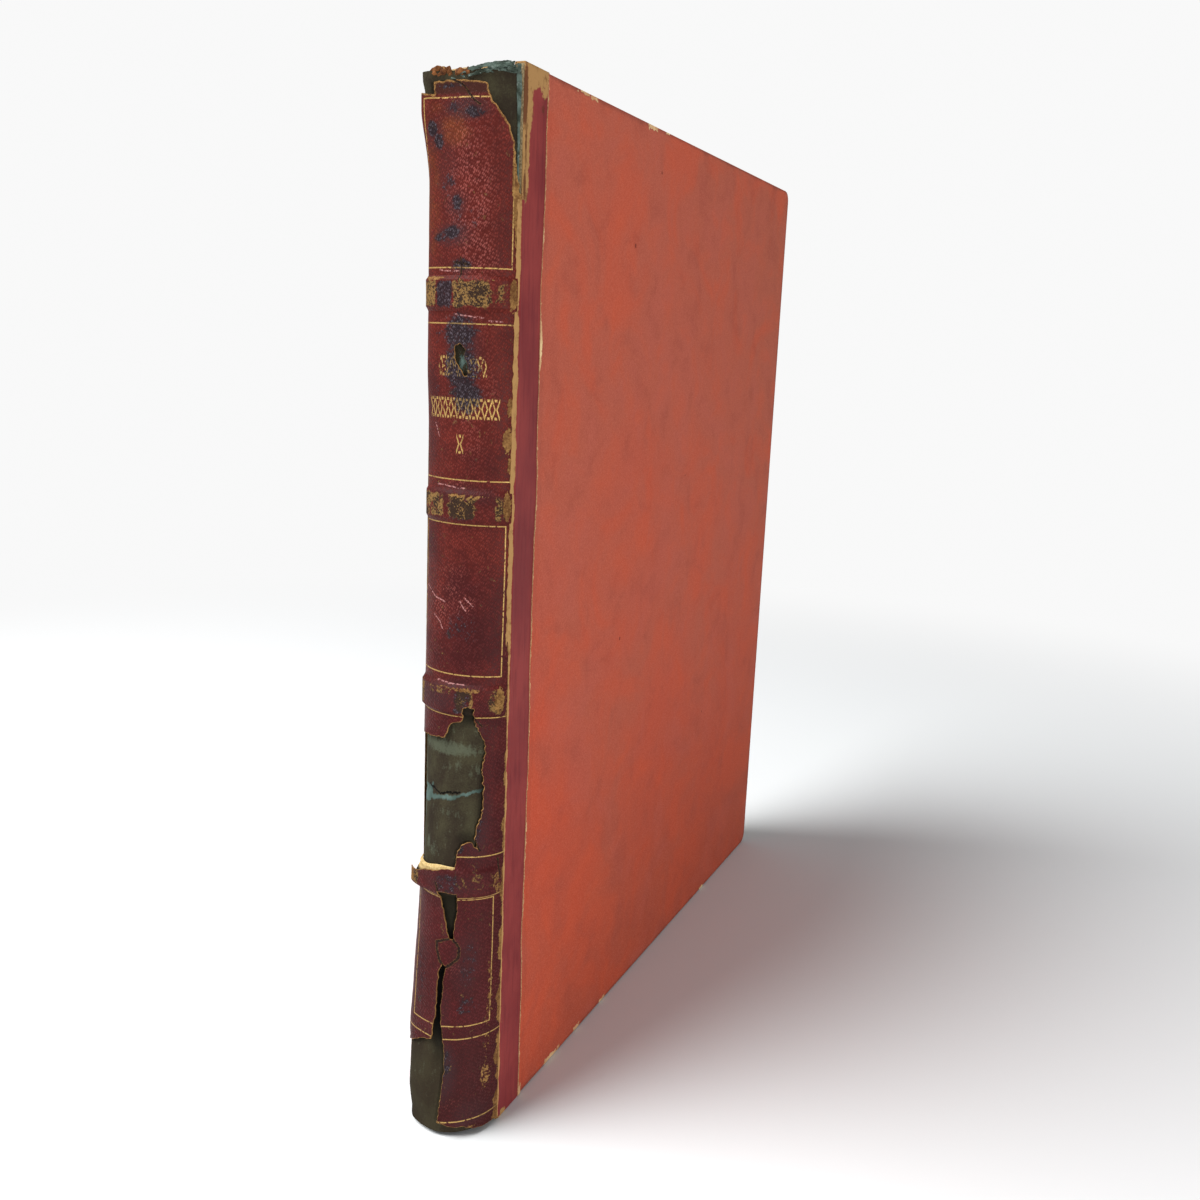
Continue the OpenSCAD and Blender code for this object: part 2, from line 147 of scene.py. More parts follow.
TAIL_TEAR = [
    (-17, -8), (-17, 27), (-14.2, 28), (-5.2, 33.6), (-1.2, 34.6), (-1, 38.8), (-0.3, 43.5),
    (-0.1, 52.3), (0.2, 58.2), (1.2, 61.6), (2.8, 60.6), (1.8, 56.5), (2.1, 52), (1.6, 46.4),
    (2, 41.4), (2.7, 35.5), (3.7, 30.4), (3.8, 24.5), (3.1, 13.5), (2.3, 6), (5.6, 4.8),
    (9.9, 4), (12.8, 2.2), (15.2, 1.8), (17, -8),
]


# Form of the back

def clamp01(value):
    return np.clip(value, 0, 1)


def ease(value):
    share = clamp01(value)
    return share * share * (3 - 2 * share)


def pulled(turn, z):
    """How much the back has pulled away, from 0 to 1: at the head, and less at the tail."""
    head = 0.42 * ease((z - 225) / 30) + 0.58 * ease((z - 305) / 22)
    tail = tail_pull * ease((tail_pull_h - z) / tail_pull_h * 1.8)
    return ease((turn - 90) / 50) * np.maximum(head, tail)


def reach(turn, z):
    """How far the bare back stands out from the joint."""
    loose = (tail_reach - waist_reach) * clamp01(1 - z / loose_h) ** 1.1
    flare = (head_reach - waist_reach) * clamp01((z - flare_h) / (cover_h - flare_h)) ** 2
    return waist_reach + loose + flare + pull_reach * pulled(turn, z)


def crown(turn, z):
    bare = loose_crown + (tight_crown - loose_crown) * clamp01(z / loose_h)
    return bare + (pulled_crown - bare) * pulled(turn, z)


def band_lift(z, i):
    return band_rise * clamp01((band_w / 2 + band_slope - np.abs(z - BAND_ZS[i])) / band_slope)


def lift(z):
    """How far the bands lift the leather at height z."""
    return np.max([band_lift(z, i) for i in range(len(BAND_ZS))], axis=0)


def band_fade(turn):
    """The bands die away towards the joints."""
    return ease((np.minimum(turn, 180 - turn) - 6) / 30)


def spring(turn, z):
    """How far the torn end of the lowest band has sprung out."""
    return band_spring * ease((turn - 105) / 60) * band_lift(z, 0) / band_rise


def back_curve(turn, z):
    """Section of the back's face at height z, from the joint line."""
    angle = np.radians(turn)
    bulge = np.maximum(0, np.sin(angle)) ** crown(turn, z)
    return back_half * np.cos(angle), -reach(turn, z) * bulge


def back_point(turn, z, depth, sprung=0):
    """Points of the back at turns of 0 to 180 degrees, from the front joint to the back
    joint, at heights z and depths under the face of the leather."""
    t = np.clip(turn, 4, 176)
    x0, y0 = back_curve(t - 1, z)
    x1, y1 = back_curve(t + 1, z)
    length = np.hypot(x1 - x0, y1 - y0)
    x, y = back_curve(turn, z)
    x = x + (y1 - y0) / length * depth
    y = y - (x1 - x0) / length * depth
    return np.stack([x, joint_y - joint_gap - sprung + np.minimum(0, y), z + 0 * x], axis=-1)


TURNS = np.linspace(0, 180, 121)


@lru_cache(maxsize=None)
def arc_at(z):
    """Length along the leather from the middle of the back to each of TURNS, positive
    towards the front cover, at a height z."""
    points = back_point(TURNS, np.full(len(TURNS), float(z)), 0)[:, :2]
    steps = np.linalg.norm(np.diff(points, axis=0), axis=1)
    run = np.concatenate([[0], np.cumsum(steps)])
    return run[len(TURNS) // 2] - run


def arc(z):
    return arc_at(round(float(z), 1))


def turn_of(across, z):
    return float(np.interp(-across, -arc(z), TURNS))


def across_of(x, z):
    """Where a point seen at x from behind the book lies along the leather."""
    share = max(-1, min(1, x / back_half))
    along = float(np.interp(math.degrees(math.acos(share)), TURNS, arc(z)))
    return along + (x / back_half - share) * back_half


# Sheets and tears

def ragged(outline, seed, stray, step=0.8):
    """A tear's outline as points (across, z), a short step apart, with torn fibres."""
    draw = random.Random(seed)
    points = []
    for (x0, z0), (x1, z1) in zip(outline, outline[1:] + outline[:1]):
        length = math.hypot(x1 - x0, z1 - z0)
        count = max(1, round(length / step))
        for share in [k / count for k in range(count)]:
            aside = draw.uniform(-stray, stray) / length
            x = x0 + (x1 - x0) * share + (z1 - z0) * aside
            z = z0 + (z1 - z0) * share - (x1 - x0) * aside
            points.append((across_of(x, z), z))
    return np.array(points)


def inside(points, outline):
    """Which of the points (n, 2) lie inside a closed outline."""
    hit = np.zeros(len(points), bool)
    for a, b in zip(outline, np.roll(outline, -1, axis=0)):
        spans = (a[1] > points[:, 1]) != (b[1] > points[:, 1])
        rise = b[1] - a[1] if abs(b[1] - a[1]) > 1e-9 else 1e-9
        crossing = a[0] + (points[:, 1] - a[1]) * (b[0] - a[0]) / rise
        hit ^= spans & (points[:, 0] < crossing)
    return hit


def nearest(points, outline):
    """Distance from each point to a closed outline, and the nearest place on it."""
    best = np.full(len(points), 1e9)
    place = points.copy()
    for a, b in zip(outline, np.roll(outline, -1, axis=0)):
        side = b - a
        share = clamp01(((points - a) @ side) / max(side @ side, 1e-9))
        foot = a + share[:, None] * side
        away = np.linalg.norm(points - foot, axis=1)
        closer = away < best
        best[closer] = away[closer]
        place[closer] = foot[closer]
    return best, place


def bounded(outline, reach_mm=8):
    """The box in which an outline can matter, as lowest and highest (across, z)."""
    return outline.min(axis=0) - reach_mm, outline.max(axis=0) + reach_mm


def within(points, box):
    return np.all((points > box[0]) & (points < box[1]), axis=1)


def flat_sheet(columns, rows):
    """Quads over a flat square from -1 to 1 both ways."""
    bm = bmesh.new()
    bmesh.ops.create_grid(bm, x_segments=columns, y_segments=rows, size=1)
    return bm


def coordinates(bm):
    return np.array([v.co for v in bm.verts])


def shares(bm):
    """Where the vertices of a flat sheet lie in it, from 0 to 1 both ways."""
    flat = (coordinates(bm) + 1) / 2
    return flat[:, 0], flat[:, 1]


def sheet_places(bm):
    """The (across, z) of the vertices of a sheet over the back, and the turn at each."""
    flat = coordinates(bm)[:, :2]
    return flat, np.array([turn_of(across, z) for across, z in flat])


def place_vertices(bm, points):
    for v, point in zip(bm.verts, points):
        v.co = point


def tear_sheet(bm, outlines):
    """Takes out what lies inside the outlines, and draws the border onto them."""
    bm.verts.ensure_lookup_table()
    frame_verts = {v for v in bm.verts if v.is_boundary}
    faces = list(bm.faces)
    centres = np.array([f.calc_center_median()[:2] for f in faces])
    gone = np.zeros(len(faces), bool)
    for outline in outlines:
        near = np.nonzero(within(centres, bounded(outline, 1)))[0]
        gone[near] |= inside(centres[near], outline)
    bmesh.ops.delete(bm, geom=[f for f, out in zip(faces, gone) if out], context="FACES")
    border = [v for v in bm.verts if v.is_boundary and v not in frame_verts]
    places = np.array([v.co[:2] for v in border])
    best = np.full(len(border), 1e9)
    target = places.copy()
    for outline in outlines:
        away, foot = nearest(places, outline)
        closer = away < best
        best[closer] = away[closer]
        target[closer] = foot[closer]
    for v, point, away in zip(border, target, best):
        if away < 1.2:
            v.co.x, v.co.y = point


def distance_to(points, outlines, limit=8):
    """Distance of each point (across, z) from the nearest torn edge, up to a limit."""
    best = np.full(len(points), float(limit))
    for outline in outlines:
        near = np.nonzero(within(points, bounded(outline, limit)))[0]
        if len(near):
            away, _ = nearest(points[near], outline)
            best[near] = np.minimum(best[near], away)
    return best


def ripple(points, size, seed):
    """Smooth noise from -1 to 1 at the points, with features of about that size."""
    shift = Vector((seed * 7.3, seed * 3.1, seed * 5.7))
    return np.array([noise.noise(Vector(p) / size + shift) for p in points])


def wander(values, size, seed, second=0):
    """Smooth noise from -1 to 1 along a line, with features of about that size."""
    return np.array([noise.noise(Vector((value / size, seed, second)))
                     for value in np.atleast_1d(values)])


def store(bm, **fields):
    """Keeps values at the vertices under the names that the finishes read."""
    for name, values in fields.items():
        layer = bm.verts.layers.float.new(name)
        for v, value in zip(bm.verts, values):
            v[layer] = float(value)


def back_sheet(columns, rows, z_range, turn_from=0, outlines=()):
    """A sheet over the back, still flat: x is the place across and y the height."""
    bm = flat_sheet(columns, rows)
    z0, z1 = z_range
    for v in bm.verts:
        z = z0 + (v.co.y + 1) / 2 * (z1 - z0)
        reach_front = float(np.interp(turn_from, TURNS, arc(z)))
        reach_back = float(np.interp(180 - turn_from, TURNS, arc(z)))
        share = (v.co.x + 1) / 2
        v.co = (reach_back + share * (reach_front - reach_back), z, 0)
    if outlines:
        tear_sheet(bm, outlines)
    return bm


# Finished pieces

def thicken(piece, wall, taper, finishes):
    """Gives a sheet a wall inwards, thinner where the taper is below 1."""
    if taper is not None:
        group = piece.vertex_groups.new(name="thickness")
        for i, weight in enumerate(taper):
            group.add([i], float(weight), "REPLACE")
    solid = piece.modifiers.new("wall", "SOLIDIFY")
    solid.thickness = wall * MM
    solid.offset = -1
    if len(finishes) > 1:
        solid.material_offset = 1
        solid.material_offset_rim = 1
    if taper is not None:
        solid.vertex_group = "thickness"
    thin = piece.data
    piece.data = bpy.data.meshes.new_from_object(
        piece.evaluated_get(bpy.context.evaluated_depsgraph_get()))
    piece.modifiers.clear()
    piece.vertex_groups.clear()
    bpy.data.meshes.remove(thin)
    piece.data.name = piece.name


def finish_piece(name, bm, finishes, wall, replaces=None, body="book_block", taper=None):
    """Makes an object of a sheet in millimetres, and says what it rides on, which node it
    replaces and which finish it takes."""
    bmesh.ops.scale(bm, vec=(MM, MM, MM), verts=bm.verts)
    mesh = bpy.data.meshes.new(name)
    bm.to_mesh(mesh)
    bm.free()
    piece = bpy.data.objects.new(name, mesh)
    bpy.context.scene.collection.objects.link(piece)
    for finish in finishes:
        mesh.materials.append(finish)
    thicken(piece, wall, taper, finishes)
    piece.data.shade_smooth()
    piece.data.set_sharp_from_angle(angle=math.radians(SHARP_DEGREES))
    if body:
        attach(piece, body)
    if replaces:
        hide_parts(replaces)
    return piece


# Shader maths as Python expressions

class Wire:
    """An output of a material's nodes that can stand in Python arithmetic."""

    def __init__(self, finish, socket):
        self.finish = finish
        self.socket = socket

    def maths(self, operation, *values):
        return self.finish.node("ShaderNodeMath", {"operation": operation},
                                dict(enumerate(values)))

    def __add__(self, other):
        return self.maths("ADD", self, other)

    __radd__ = __add__

    def __sub__(self, other):
        return self.maths("SUBTRACT", self, other)

    def __rsub__(self, other):
        return self.maths("SUBTRACT", other, self)

    def __mul__(self, other):
        return self.maths("MULTIPLY", self, other)

    __rmul__ = __mul__

    def __truediv__(self, other):
        return self.maths("DIVIDE", self, other)

    def __rtruediv__(self, other):
        return self.maths("DIVIDE", other, self)

    def __abs__(self):
        return self.maths("ABSOLUTE", self)

    def least(self, other):
        return self.maths("MINIMUM", self, other)

    def most(self, other):
        return self.maths("MAXIMUM", self, other)

    def root(self):
        return self.maths("SQRT", self)

    def sine(self):
        return self.maths("SINE", self)

    def fraction(self):
        return self.maths("FRACT", self)

    def between(self, low, high):
        """0 below low, 1 above high, and smooth between them."""
        settings = {"interpolation_type": "SMOOTHSTEP", "clamp": True}
        return self.finish.node("ShaderNodeMapRange", settings,
                                {"Value": self, "From Min": low, "From Max": high})


class Finish:
    """A material under construction."""

    def __init__(self, name):
        self.material = bpy.data.materials.new(name)
        self.material.use_nodes = True
        self.tree = self.material.node_tree
        self.tree.nodes.clear()
        self.here = self.node("ShaderNodeTexCoord", output="Object")
        apart = self.node("ShaderNodeSeparateXYZ", values={"Vector": self.here})
        outputs = apart.socket.node.outputs
        self.x, self.y, self.z = (Wire(self, outputs[i]) * METRE for i in range(3))

    def node(self, kind, settings=None, values=None, output=0):
        """Any node: its type, its settings, then the values or links of its sockets."""
        node = self.tree.nodes.new(kind)
        for key, value in (settings or {}).items():
            setattr(node, key, value)
        for key, value in (values or {}).items():
            if isinstance(value, Wire):
                self.tree.links.new(value.socket, node.inputs[key])
            else:
                node.inputs[key].default_value = value
        return Wire(self, node.outputs[output])

    def read(self, name):
        """A value that the piece's own mesh holds."""
        return self.node("ShaderNodeAttribute", {"attribute_name": name}, output="Fac")

    def stretched(self, stretch):
        return self.node("ShaderNodeVectorMath", {"operation": "MULTIPLY"},
                         {0: self.here, 1: stretch})

    def speckle(self, size, detail=3, stretch=(1, 1, 1), roughness=0.55, bent=0):
        """Noise from 0 to 1 with features of about size millimetres."""
        return self.node("ShaderNodeTexNoise", None,
                         {"Vector": self.stretched(stretch), "Scale": METRE / size,
                          "Detail": detail, "Roughness": roughness, "Distortion": bent})

    def pebbles(self, u, v, wide, high):
        """Distance from the middle of the nearest pebble, in a grain laid out along u and
        v, in millimetres."""
        place = self.node("ShaderNodeCombineXYZ", None, {0: u / wide, 1: v / high})
        return self.node("ShaderNodeTexVoronoi", {"feature": "SMOOTH_F1"},
                         {"Vector": place, "Scale": 1.0, "Smoothness": 0.25,
                          "Randomness": 0.5})

    def stroke(self, u, v, start, end, half):
        """1 on a thin straight mark between two places, 0 away from it."""
        du, dv = end[0] - start[0], end[1] - start[1]
        share = ((u - start[0]) * du + (v - start[1]) * dv) / (du * du + dv * dv)
        share = share.most(0).least(1)
        aside_u = u - start[0] - share * du
        aside_v = v - start[1] - share * dv
        away = (aside_u * aside_u + aside_v * aside_v).root()
        return 1 - away.between(half * 0.5, half * 1.4)

    def mix(self, factor, first, second):
        return self.node("ShaderNodeMix", {"data_type": "RGBA", "clamp_factor": True},
                         {0: factor, 6: first, 7: second}, output=2)

    def coats(self, colour, *coats):
        """Lays coats, each a strength and a colour, one over the other."""
        for strength, coat in coats:
            colour = self.mix(strength, colour, coat)
        return colour

    def bump(self, height, depth, below=None):
        """Relief of a depth in millimetres."""
        values = {"Height": height, "Distance": depth * MM, "Strength": 1.0}
        if below is not None:
            values["Normal"] = below
        return self.node("ShaderNodeBump", None, values)

    def surface(self, colour, roughness=0.8, relief=None, metal=0.0, gloss=0.5, sheen=0.0):
        values = {"Base Color": colour, "Roughness": roughness, "Metallic": metal,
                  "Specular IOR Level": gloss, "Sheen Weight": sheen}
        if relief is not None:
            values["Normal"] = relief
        return self.finished(self.node("ShaderNodeBsdfPrincipled", None, values))

    def finished(self, shader):
        end = self.tree.nodes.new("ShaderNodeOutputMaterial")
        self.tree.links.new(shader.socket, end.inputs["Surface"])
        return self.material


def strongest(marks):
    """The strongest of several masks at each place."""
    return reduce(Wire.most, marks)


def tint(red, green, blue):
    """A colour as it looks on a screen, 0 to 255 each, as linear light."""
    def linear(value):
        share = value / 255
        return share / 12.92 if share <= 0.04045 else ((share + 0.055) / 1.055) ** 2.4
    return (linear(red), linear(green), linear(blue), 1)


RED_LEATHER = tint(106, 38, 30)
RED_LEATHER_DEEP = tint(78, 26, 23)
PLUM_LEATHER = tint(80, 26, 28)
PLUM_LEATHER_DEEP = tint(57, 19, 21)
# Painted shade for the pits of the grain
PIT_PAINTED_SHADE = tint(48, 18, 17)
BROWN_PATCH = tint(124, 62, 32)
# Rubbed leather and painted highlight on the pebble tops
PEBBLE_RUB_AND_HIGHLIGHT = tint(168, 92, 84)
# Scratches, and painted highlight lines along the feet of the bands
SCRATCH_AND_HIGHLIGHT = tint(196, 140, 136)
TAIL_SHADE = tint(36, 20, 19)
TAB_SHADE = tint(58, 33, 27)
CRACK_SHADE = tint(24, 14, 14)
SMOKE = tint(54, 34, 36)
STAIN = tint(30, 24, 28)
STAIN_TOP = tint(84, 78, 86)
SPECK = tint(124, 94, 54)
SPECK_DARK = tint(48, 34, 26)
TAN = tint(152, 114, 66)
TAN_DARK = tint(94, 62, 34)
TAN_LIGHT = tint(162, 124, 78)
OLD_GOLD = tint(206, 174, 104)
CREAM = tint(226, 200, 150)
TEAL = tint(88, 102, 94)
TEAL_DARK = tint(46, 52, 44)
OLIVE = tint(60, 56, 41)
OLIVE_DARK = tint(44, 37, 29)

# Levels of the gilt rules that run right across, and the middle and half height of
# the three gilt frames
RULES = [266, 219.3, 144.7, 98.5, 84.8, 35.5, 6]
FRAMES = [(305.7, 23.6), (181.8, 23.8), (62, 22)]
rule_half = 0.21
# Rows of ornament in the second panel, as (level, half length, height, length of one
# lozenge). The first is rubbed faint.
ORNAMENTS = [(253.5, 8.3, 3.6, 2.1), (241, 12.4, 3.7, 2.25), (230.2, 1.15, 3.4, 2.3)]

# Fine cracks and scratches in the leather's face, and painted highlight lines along the
# feet of the bands, as runs of places (x, z)
CRACKS = [
    [(-2.8, 333.8), (-0.6, 333), (1, 331.6), (2.2, 330), (3.7, 328.3), (5.1, 327.3)],
    [(-0.4, 285), (-0.1, 282), (-0.4, 278.5)], [(-2.6, 283.6), (2.4, 283)],
    [(9.2, 104.5), (10.6, 100.5)], [(7.4, 144.6), (9.6, 142)], [(-1, 86.6), (-2.2, 89)],
    [(14.5, 97), (14.9, 90)],
]
# The edges of a loose scale of leather in the lowest panel
SCALE_EDGES = [
    [(3.1, 70.4), (-1.2, 68.6), (-0.9, 65.5), (0.4, 62), (1.2, 61.6)],
    [(4.5, 70.4), (6.4, 67.5), (6.2, 64), (4.5, 62), (2.8, 60.8)],
]
# The last five runs, along the feet of the bands, are painted highlight lines; the rest are
# scratches.
SCRATCHES_AND_HIGHLIGHT_LINES = [
    [(-13, 184.5), (-8.5, 181.4), (-4.4, 180.6)], [(-9, 176), (-6.3, 174.2), (-5, 172)],
    [(1.2, 181.5), (3.4, 178.6)], [(3, 182.6), (5.6, 180.4)], [(-9.8, 236), (-8, 232)],
    [(-8, 281.3), (-1, 280.9)], [(-2, 268.6), (3, 268.2), (7, 267.8)], [(8, 267), (12, 266.8)],
    [(-9, 217.4), (2, 216.8)], [(-6, 155.4), (4, 155)],
]

# Blue-green paper torn from the tube, on the lining: both ends and the half width, and
# the slits beside it
BLUE_STREAKS = [
    ((-4, 116.4), (2, 117.6), 0.75), ((2, 117.6), (10, 120.6), 0.5),
    ((-8.6, 118), (-7.4, 119.8), 0.5), ((-8, 115.6), (-4, 116.4), 0.8),
]
SLITS = [((-9, 119.4), (-3.6, 118)), ((-3.6, 118), (3.4, 119.4))]


def line(distance, half=rule_half):
    """1 on a line of half that width, 0 away from it."""
    return 1 - abs(distance).between(half * 0.5, half * 1.3)


def ornament(f, across, level, half_row, high, cell):
    """A row of narrow gilt lozenges with dots between their points."""
    place = abs((across / cell).fraction() - 0.5) * cell
    height = abs(f.z - level)
    point = high * 0.72
    lozenge = place * (high / cell * 1.9) + height
    ring = 1 - abs(lozenge - point).between(high * 0.13, high * 0.24)
    dot = abs(height - point).most(cell / 2 - place)
    mark = ring.most(1 - dot.between(0.3, 0.5))
    return mark * (1 - abs(across).between(half_row, half_row + 0.1))


def gilding(f, across, beyond_frame):
    """Mask of the gilt rules and frames, and of the small ornaments between them."""
    faint = f.speckle(1.7, 3).between(0.44, 0.54)
    rules = [line(f.z - level) for level in RULES]
    frames = [line((abs(f.z - middle) - half).most(beyond_frame)) for middle, half in FRAMES]
    faint_row, *rows = [ornament(f, across, *row) for row in ORNAMENTS]
    return strongest(rules + frames + [faint_row * faint] + rows)


def legs(f, across, z, runs, half):
    """A mask for each leg of the marks that run along places (x, z) of the back."""
    for run in runs:
        ends = [(across_of(x, level), level) for x, level in run]
        for start, end in zip(ends, ends[1:]):
            yield f.stroke(across, z, start, end, half)


def back_leather_finish():
    """Pebbled red leather, plum and darker towards the tail, with stains, scuffs, cracks,
    frayed rims and gilding, painted highlights on the pebble tops and painted shade in
    the pits of the grain."""
    f = Finish("back_leather")
    across = f.read("across")
    along, aside = across * 0.5 + f.z * 0.87, across * 0.87 - f.z * 0.5
    top = 1 - f.pebbles(aside, along, 0.58, 1.08).between(0.1, 0.62)
    fine = f.speckle(0.35, 2)
    patchy = f.speckle(16, 4)
    blotch = f.speckle(4.5, 4, bent=0.6)
    ragged_edge = f.speckle(2.2, 4, bent=0.8)
    grit = f.speckle(0.6, 3)
    low = ((248 - f.z) / 150 + (patchy - 0.5) * 1.6).between(0, 1)
    deep = (blotch * 0.6 + patchy * 0.6).between(0.45, 0.75)
    # Rubbed places, where the pebble tops also carry painted highlights
    rubbed = (f.read("rubbed") + (blotch - 0.5) * 1.6).between(0.1, 1.1)
    smoke = f.read("smoky") * (blotch * 0.6 + fine * 0.5).between(0.1, 0.5)
    stain = f.read("dark") + (ragged_edge - 0.5) * 1.8 + (top - 0.5) * 0.3
    stain = stain.between(0.22, 0.72)
    stained = f.mix(top * grit.between(0.35, 0.6) * stain, STAIN, STAIN_TOP)
    specked = (f.read("specked") + (ragged_edge - 0.5) * 2.4).between(0.3, 0.7)
    speck = (grit * 0.7 + fine * 0.3 + (blotch - 0.5) * 0.5 - stain * 0.12).between(0.44, 0.56)
    scuff = f.read("worn") + (grit - 0.5) * 0.9 + (ragged_edge - 0.5) * 1.3
    scuff = scuff.between(0.42, 0.58)
    flesh = f.mix((blotch * 0.6 + grit * 0.5).between(0.4, 0.75), TAN_DARK, TAN)
    colour = f.coats(
        f.mix(low, RED_LEATHER, PLUM_LEATHER),
        (deep * 0.7, f.mix(low, RED_LEATHER_DEEP, PLUM_LEATHER_DEEP)),
        (f.read("brown") * blotch.between(0.3, 0.7), BROWN_PATCH),
        # Painted shade in the pits of the grain
        ((1 - top) * 0.55, PIT_PAINTED_SHADE),
        # Painted highlights on the pebble tops, stronger where the leather is rubbed
        (top * (rubbed * 0.43 + 0.05) * grit.between(0.2, 0.55), PEBBLE_RUB_AND_HIGHLIGHT),
        ((1 - f.z.between(24, 42)) * 0.3, TAIL_SHADE),
        (f.z.between(329.6, 330.8) * 0.85, TAB_SHADE),
        (smoke * (0.9 - top * 0.35), SMOKE),
        (stain * 0.92, stained),
        (specked, f.mix(speck, SPECK_DARK, SPECK)),
        (scuff * 0.92, flesh))
    broken = grit.between(0.42, 0.56)
    # Scratches, and painted highlight lines along the feet of the bands
    for mark in legs(f, across, f.z + (blotch - 0.5) * 1.2, SCRATCHES_AND_HIGHLIGHT_LINES, 0.22):
        colour = f.mix(mark * broken * 0.6, colour, SCRATCH_AND_HIGHLIGHT)
    bent, level = across + (ragged_edge - 0.5) * 1.2, f.z + (grit - 0.5) * 0.8
    cracked = strongest([*legs(f, bent, level, CRACKS, 0.3),
                         *legs(f, bent, level, SCALE_EDGES, 0.5)])
    crack = cracked.between(0.5, 0.85)
    frayed = f.read("rim") + (grit - 0.5) * 1.1 + (ragged_edge - 0.5) * 1.4
    frayed = 1 - frayed.between(0.3, 0.75)
    kept = f.speckle(1.1, 4).between(0.34, 0.46)
    gilt = gilding(f, across, f.read("beyond_frame")) * kept * (1 - frayed)
    gilt = gilt * (1 - scuff * 0.7) * (1 - stain * 0.6)
    colour = f.coats(
        colour,
        (frayed * 0.9, f.mix(grit.between(0.35, 0.6), TAN_DARK, TAN)),
        (gilt * 0.85, f.mix(grit, TAN, OLD_GOLD)),
        (cracked * grit.between(0.42, 0.54) * 0.7, TAN),
        (crack * 0.92, CRACK_SHADE))
    height = top * 0.8 + fine * 0.25 - scuff * 0.7 - crack * 2 - gilt * 0.3
    rough = 0.46 + (scuff + frayed + specked) * 0.2 + stain * 0.1 + (patchy - 0.5) * 0.2
    return f.surface(colour, rough, f.bump(height, 0.15), metal=gilt * 0.4, gloss=0.07)


def flesh_finish(name="leather_flesh", light=TAN, dark=TAN_DARK):
    """Torn or bare fibrous side of leather, or of card."""
    f = Finish(name)
    blotch = f.speckle(2.2, 4)
    fibre = f.speckle(0.4, 3)
    colour = f.mix(blotch.between(0.3, 0.7), dark, light)
    return f.surface(colour, 0.92, f.bump(fibre, 0.15), gloss=0.1)


def lining_finish():
    """Dark card that stiffens the back, with a paler band, a blue-green tear, dark slits, and
    darker places that are partly painted shade under the leather's edge.
    """
    f = Finish("lining_card")
    patchy = f.speckle(9, 4, (1, 1, 0.7))
    streak = f.speckle(1.6, 3, (1, 1, 0.45))
    fibre = f.speckle(0.5, 3)
    pale = (f.read("pale") + (streak - 0.5) * 2 + (fibre - 0.5)).between(0.2, 1)
    wavy = f.z + (streak - 0.5) * 2.2 + (fibre - 0.5) * 0.8
    blue = (f.read("blue") + (streak - 0.5) * 0.8 + (fibre - 0.5) * 0.5).between(0.42, 0.58)
    blue = strongest([blue] + [f.stroke(f.x, wavy, *leg) for leg in BLUE_STREAKS])
    slit = strongest(f.stroke(f.x, wavy, *ends, 0.34) for ends in SLITS)
    colour = f.coats(
        f.mix((patchy + (fibre - 0.5) * 0.4).between(0.32, 0.68), OLIVE_DARK, OLIVE),
        (streak.between(0.6, 0.75) * 0.25, tint(84, 84, 66)),
        ((1 - f.z.between(24, 40)) * 0.5, tint(44, 36, 26)),
        (pale * 0.6, tint(84, 90, 74)),
        (blue, f.mix(patchy.between(0.4, 0.6), tint(62, 77, 71), tint(84, 101, 95))),
        # Darker card and painted shade under the leather's edge, and the dark slits
        (f.read("gloom").most(slit), tint(13, 11, 9)))
    relief = f.bump(fibre * 0.5 + patchy * 0.5 + blue * 0.6, 0.22)
    return f.surface(colour, 0.88, relief, gloss=0.06)


def band_card_finish():
    """Cream card, clean only above the lowest band, where the leather has just torn."""
    f = Finish("band_card")
    fibre = f.speckle(0.7, 3)
    clean = f.z.between(BAND_ZS[0], BAND_ZS[0] + 1) * (1 - f.z.between(100, 102))
    cream = f.mix(fibre.between(0.3, 0.7), tint(178, 150, 98), tint(212, 186, 132))
    colour = f.mix(clean, f.mix(fibre, OLIVE_DARK, tint(30, 25, 20)), cream)
    return f.surface(colour, 0.92, f.bump(fibre, 0.2), gloss=0.06)


def tube_finish():
    """Blue-green paper with pale and brown flecks."""
    f = Finish("tube_paper")
    patchy = f.speckle(3.4, 5)
    fibre = f.speckle(0.45, 3)
    colour = f.coats(
        f.mix(patchy.between(0.34, 0.64), TEAL_DARK, TEAL),
        (f.speckle(1.3, 4).between(0.58, 0.72) * 0.6, tint(134, 144, 136)),
        (f.speckle(2.8, 3).between(0.6, 0.7) * 0.6, tint(80, 64, 44)))
    return f.surface(colour, 0.9, f.bump(fibre * 0.5 + patchy * 0.5, 0.25), gloss=0.06)


def strip_finish():
    """Smooth leather on the covers, rubbed through where hands and shelves met it."""
    f = Finish("strip_leather")
    blotch = f.speckle(5, 4, bent=0.8)
    grit = f.speckle(0.8, 3)
    streak = f.speckle(1.3, 3, (1, 1, 0.08))
    scuff = (f.read("worn") + (grit - 0.5) * 0.8 + (blotch - 0.5) * 0.9).between(0.45, 0.6)
    crease = (f.read("creased") + (grit - 0.5) * 0.8 + (blotch - 0.5) * 0.9).between(0.3, 0.7)
    colour = f.coats(
        f.mix(f.speckle(26, 3).between(0.3, 0.7), tint(114, 42, 44), tint(134, 54, 52)),
        (streak.between(0.45, 0.7) * 0.45, tint(92, 32, 38)),
        (scuff, f.mix((blotch + grit * 0.4).between(0.35, 0.7), TAN_DARK, TAN_LIGHT)),
        (crease * 0.85, tint(84, 42, 28)))
    relief = f.bump(grit * 0.5 + streak * 0.3 - scuff * 0.8 - crease, 0.08)
    return f.surface(colour, 0.52 + scuff * 0.35, relief, gloss=0.1)


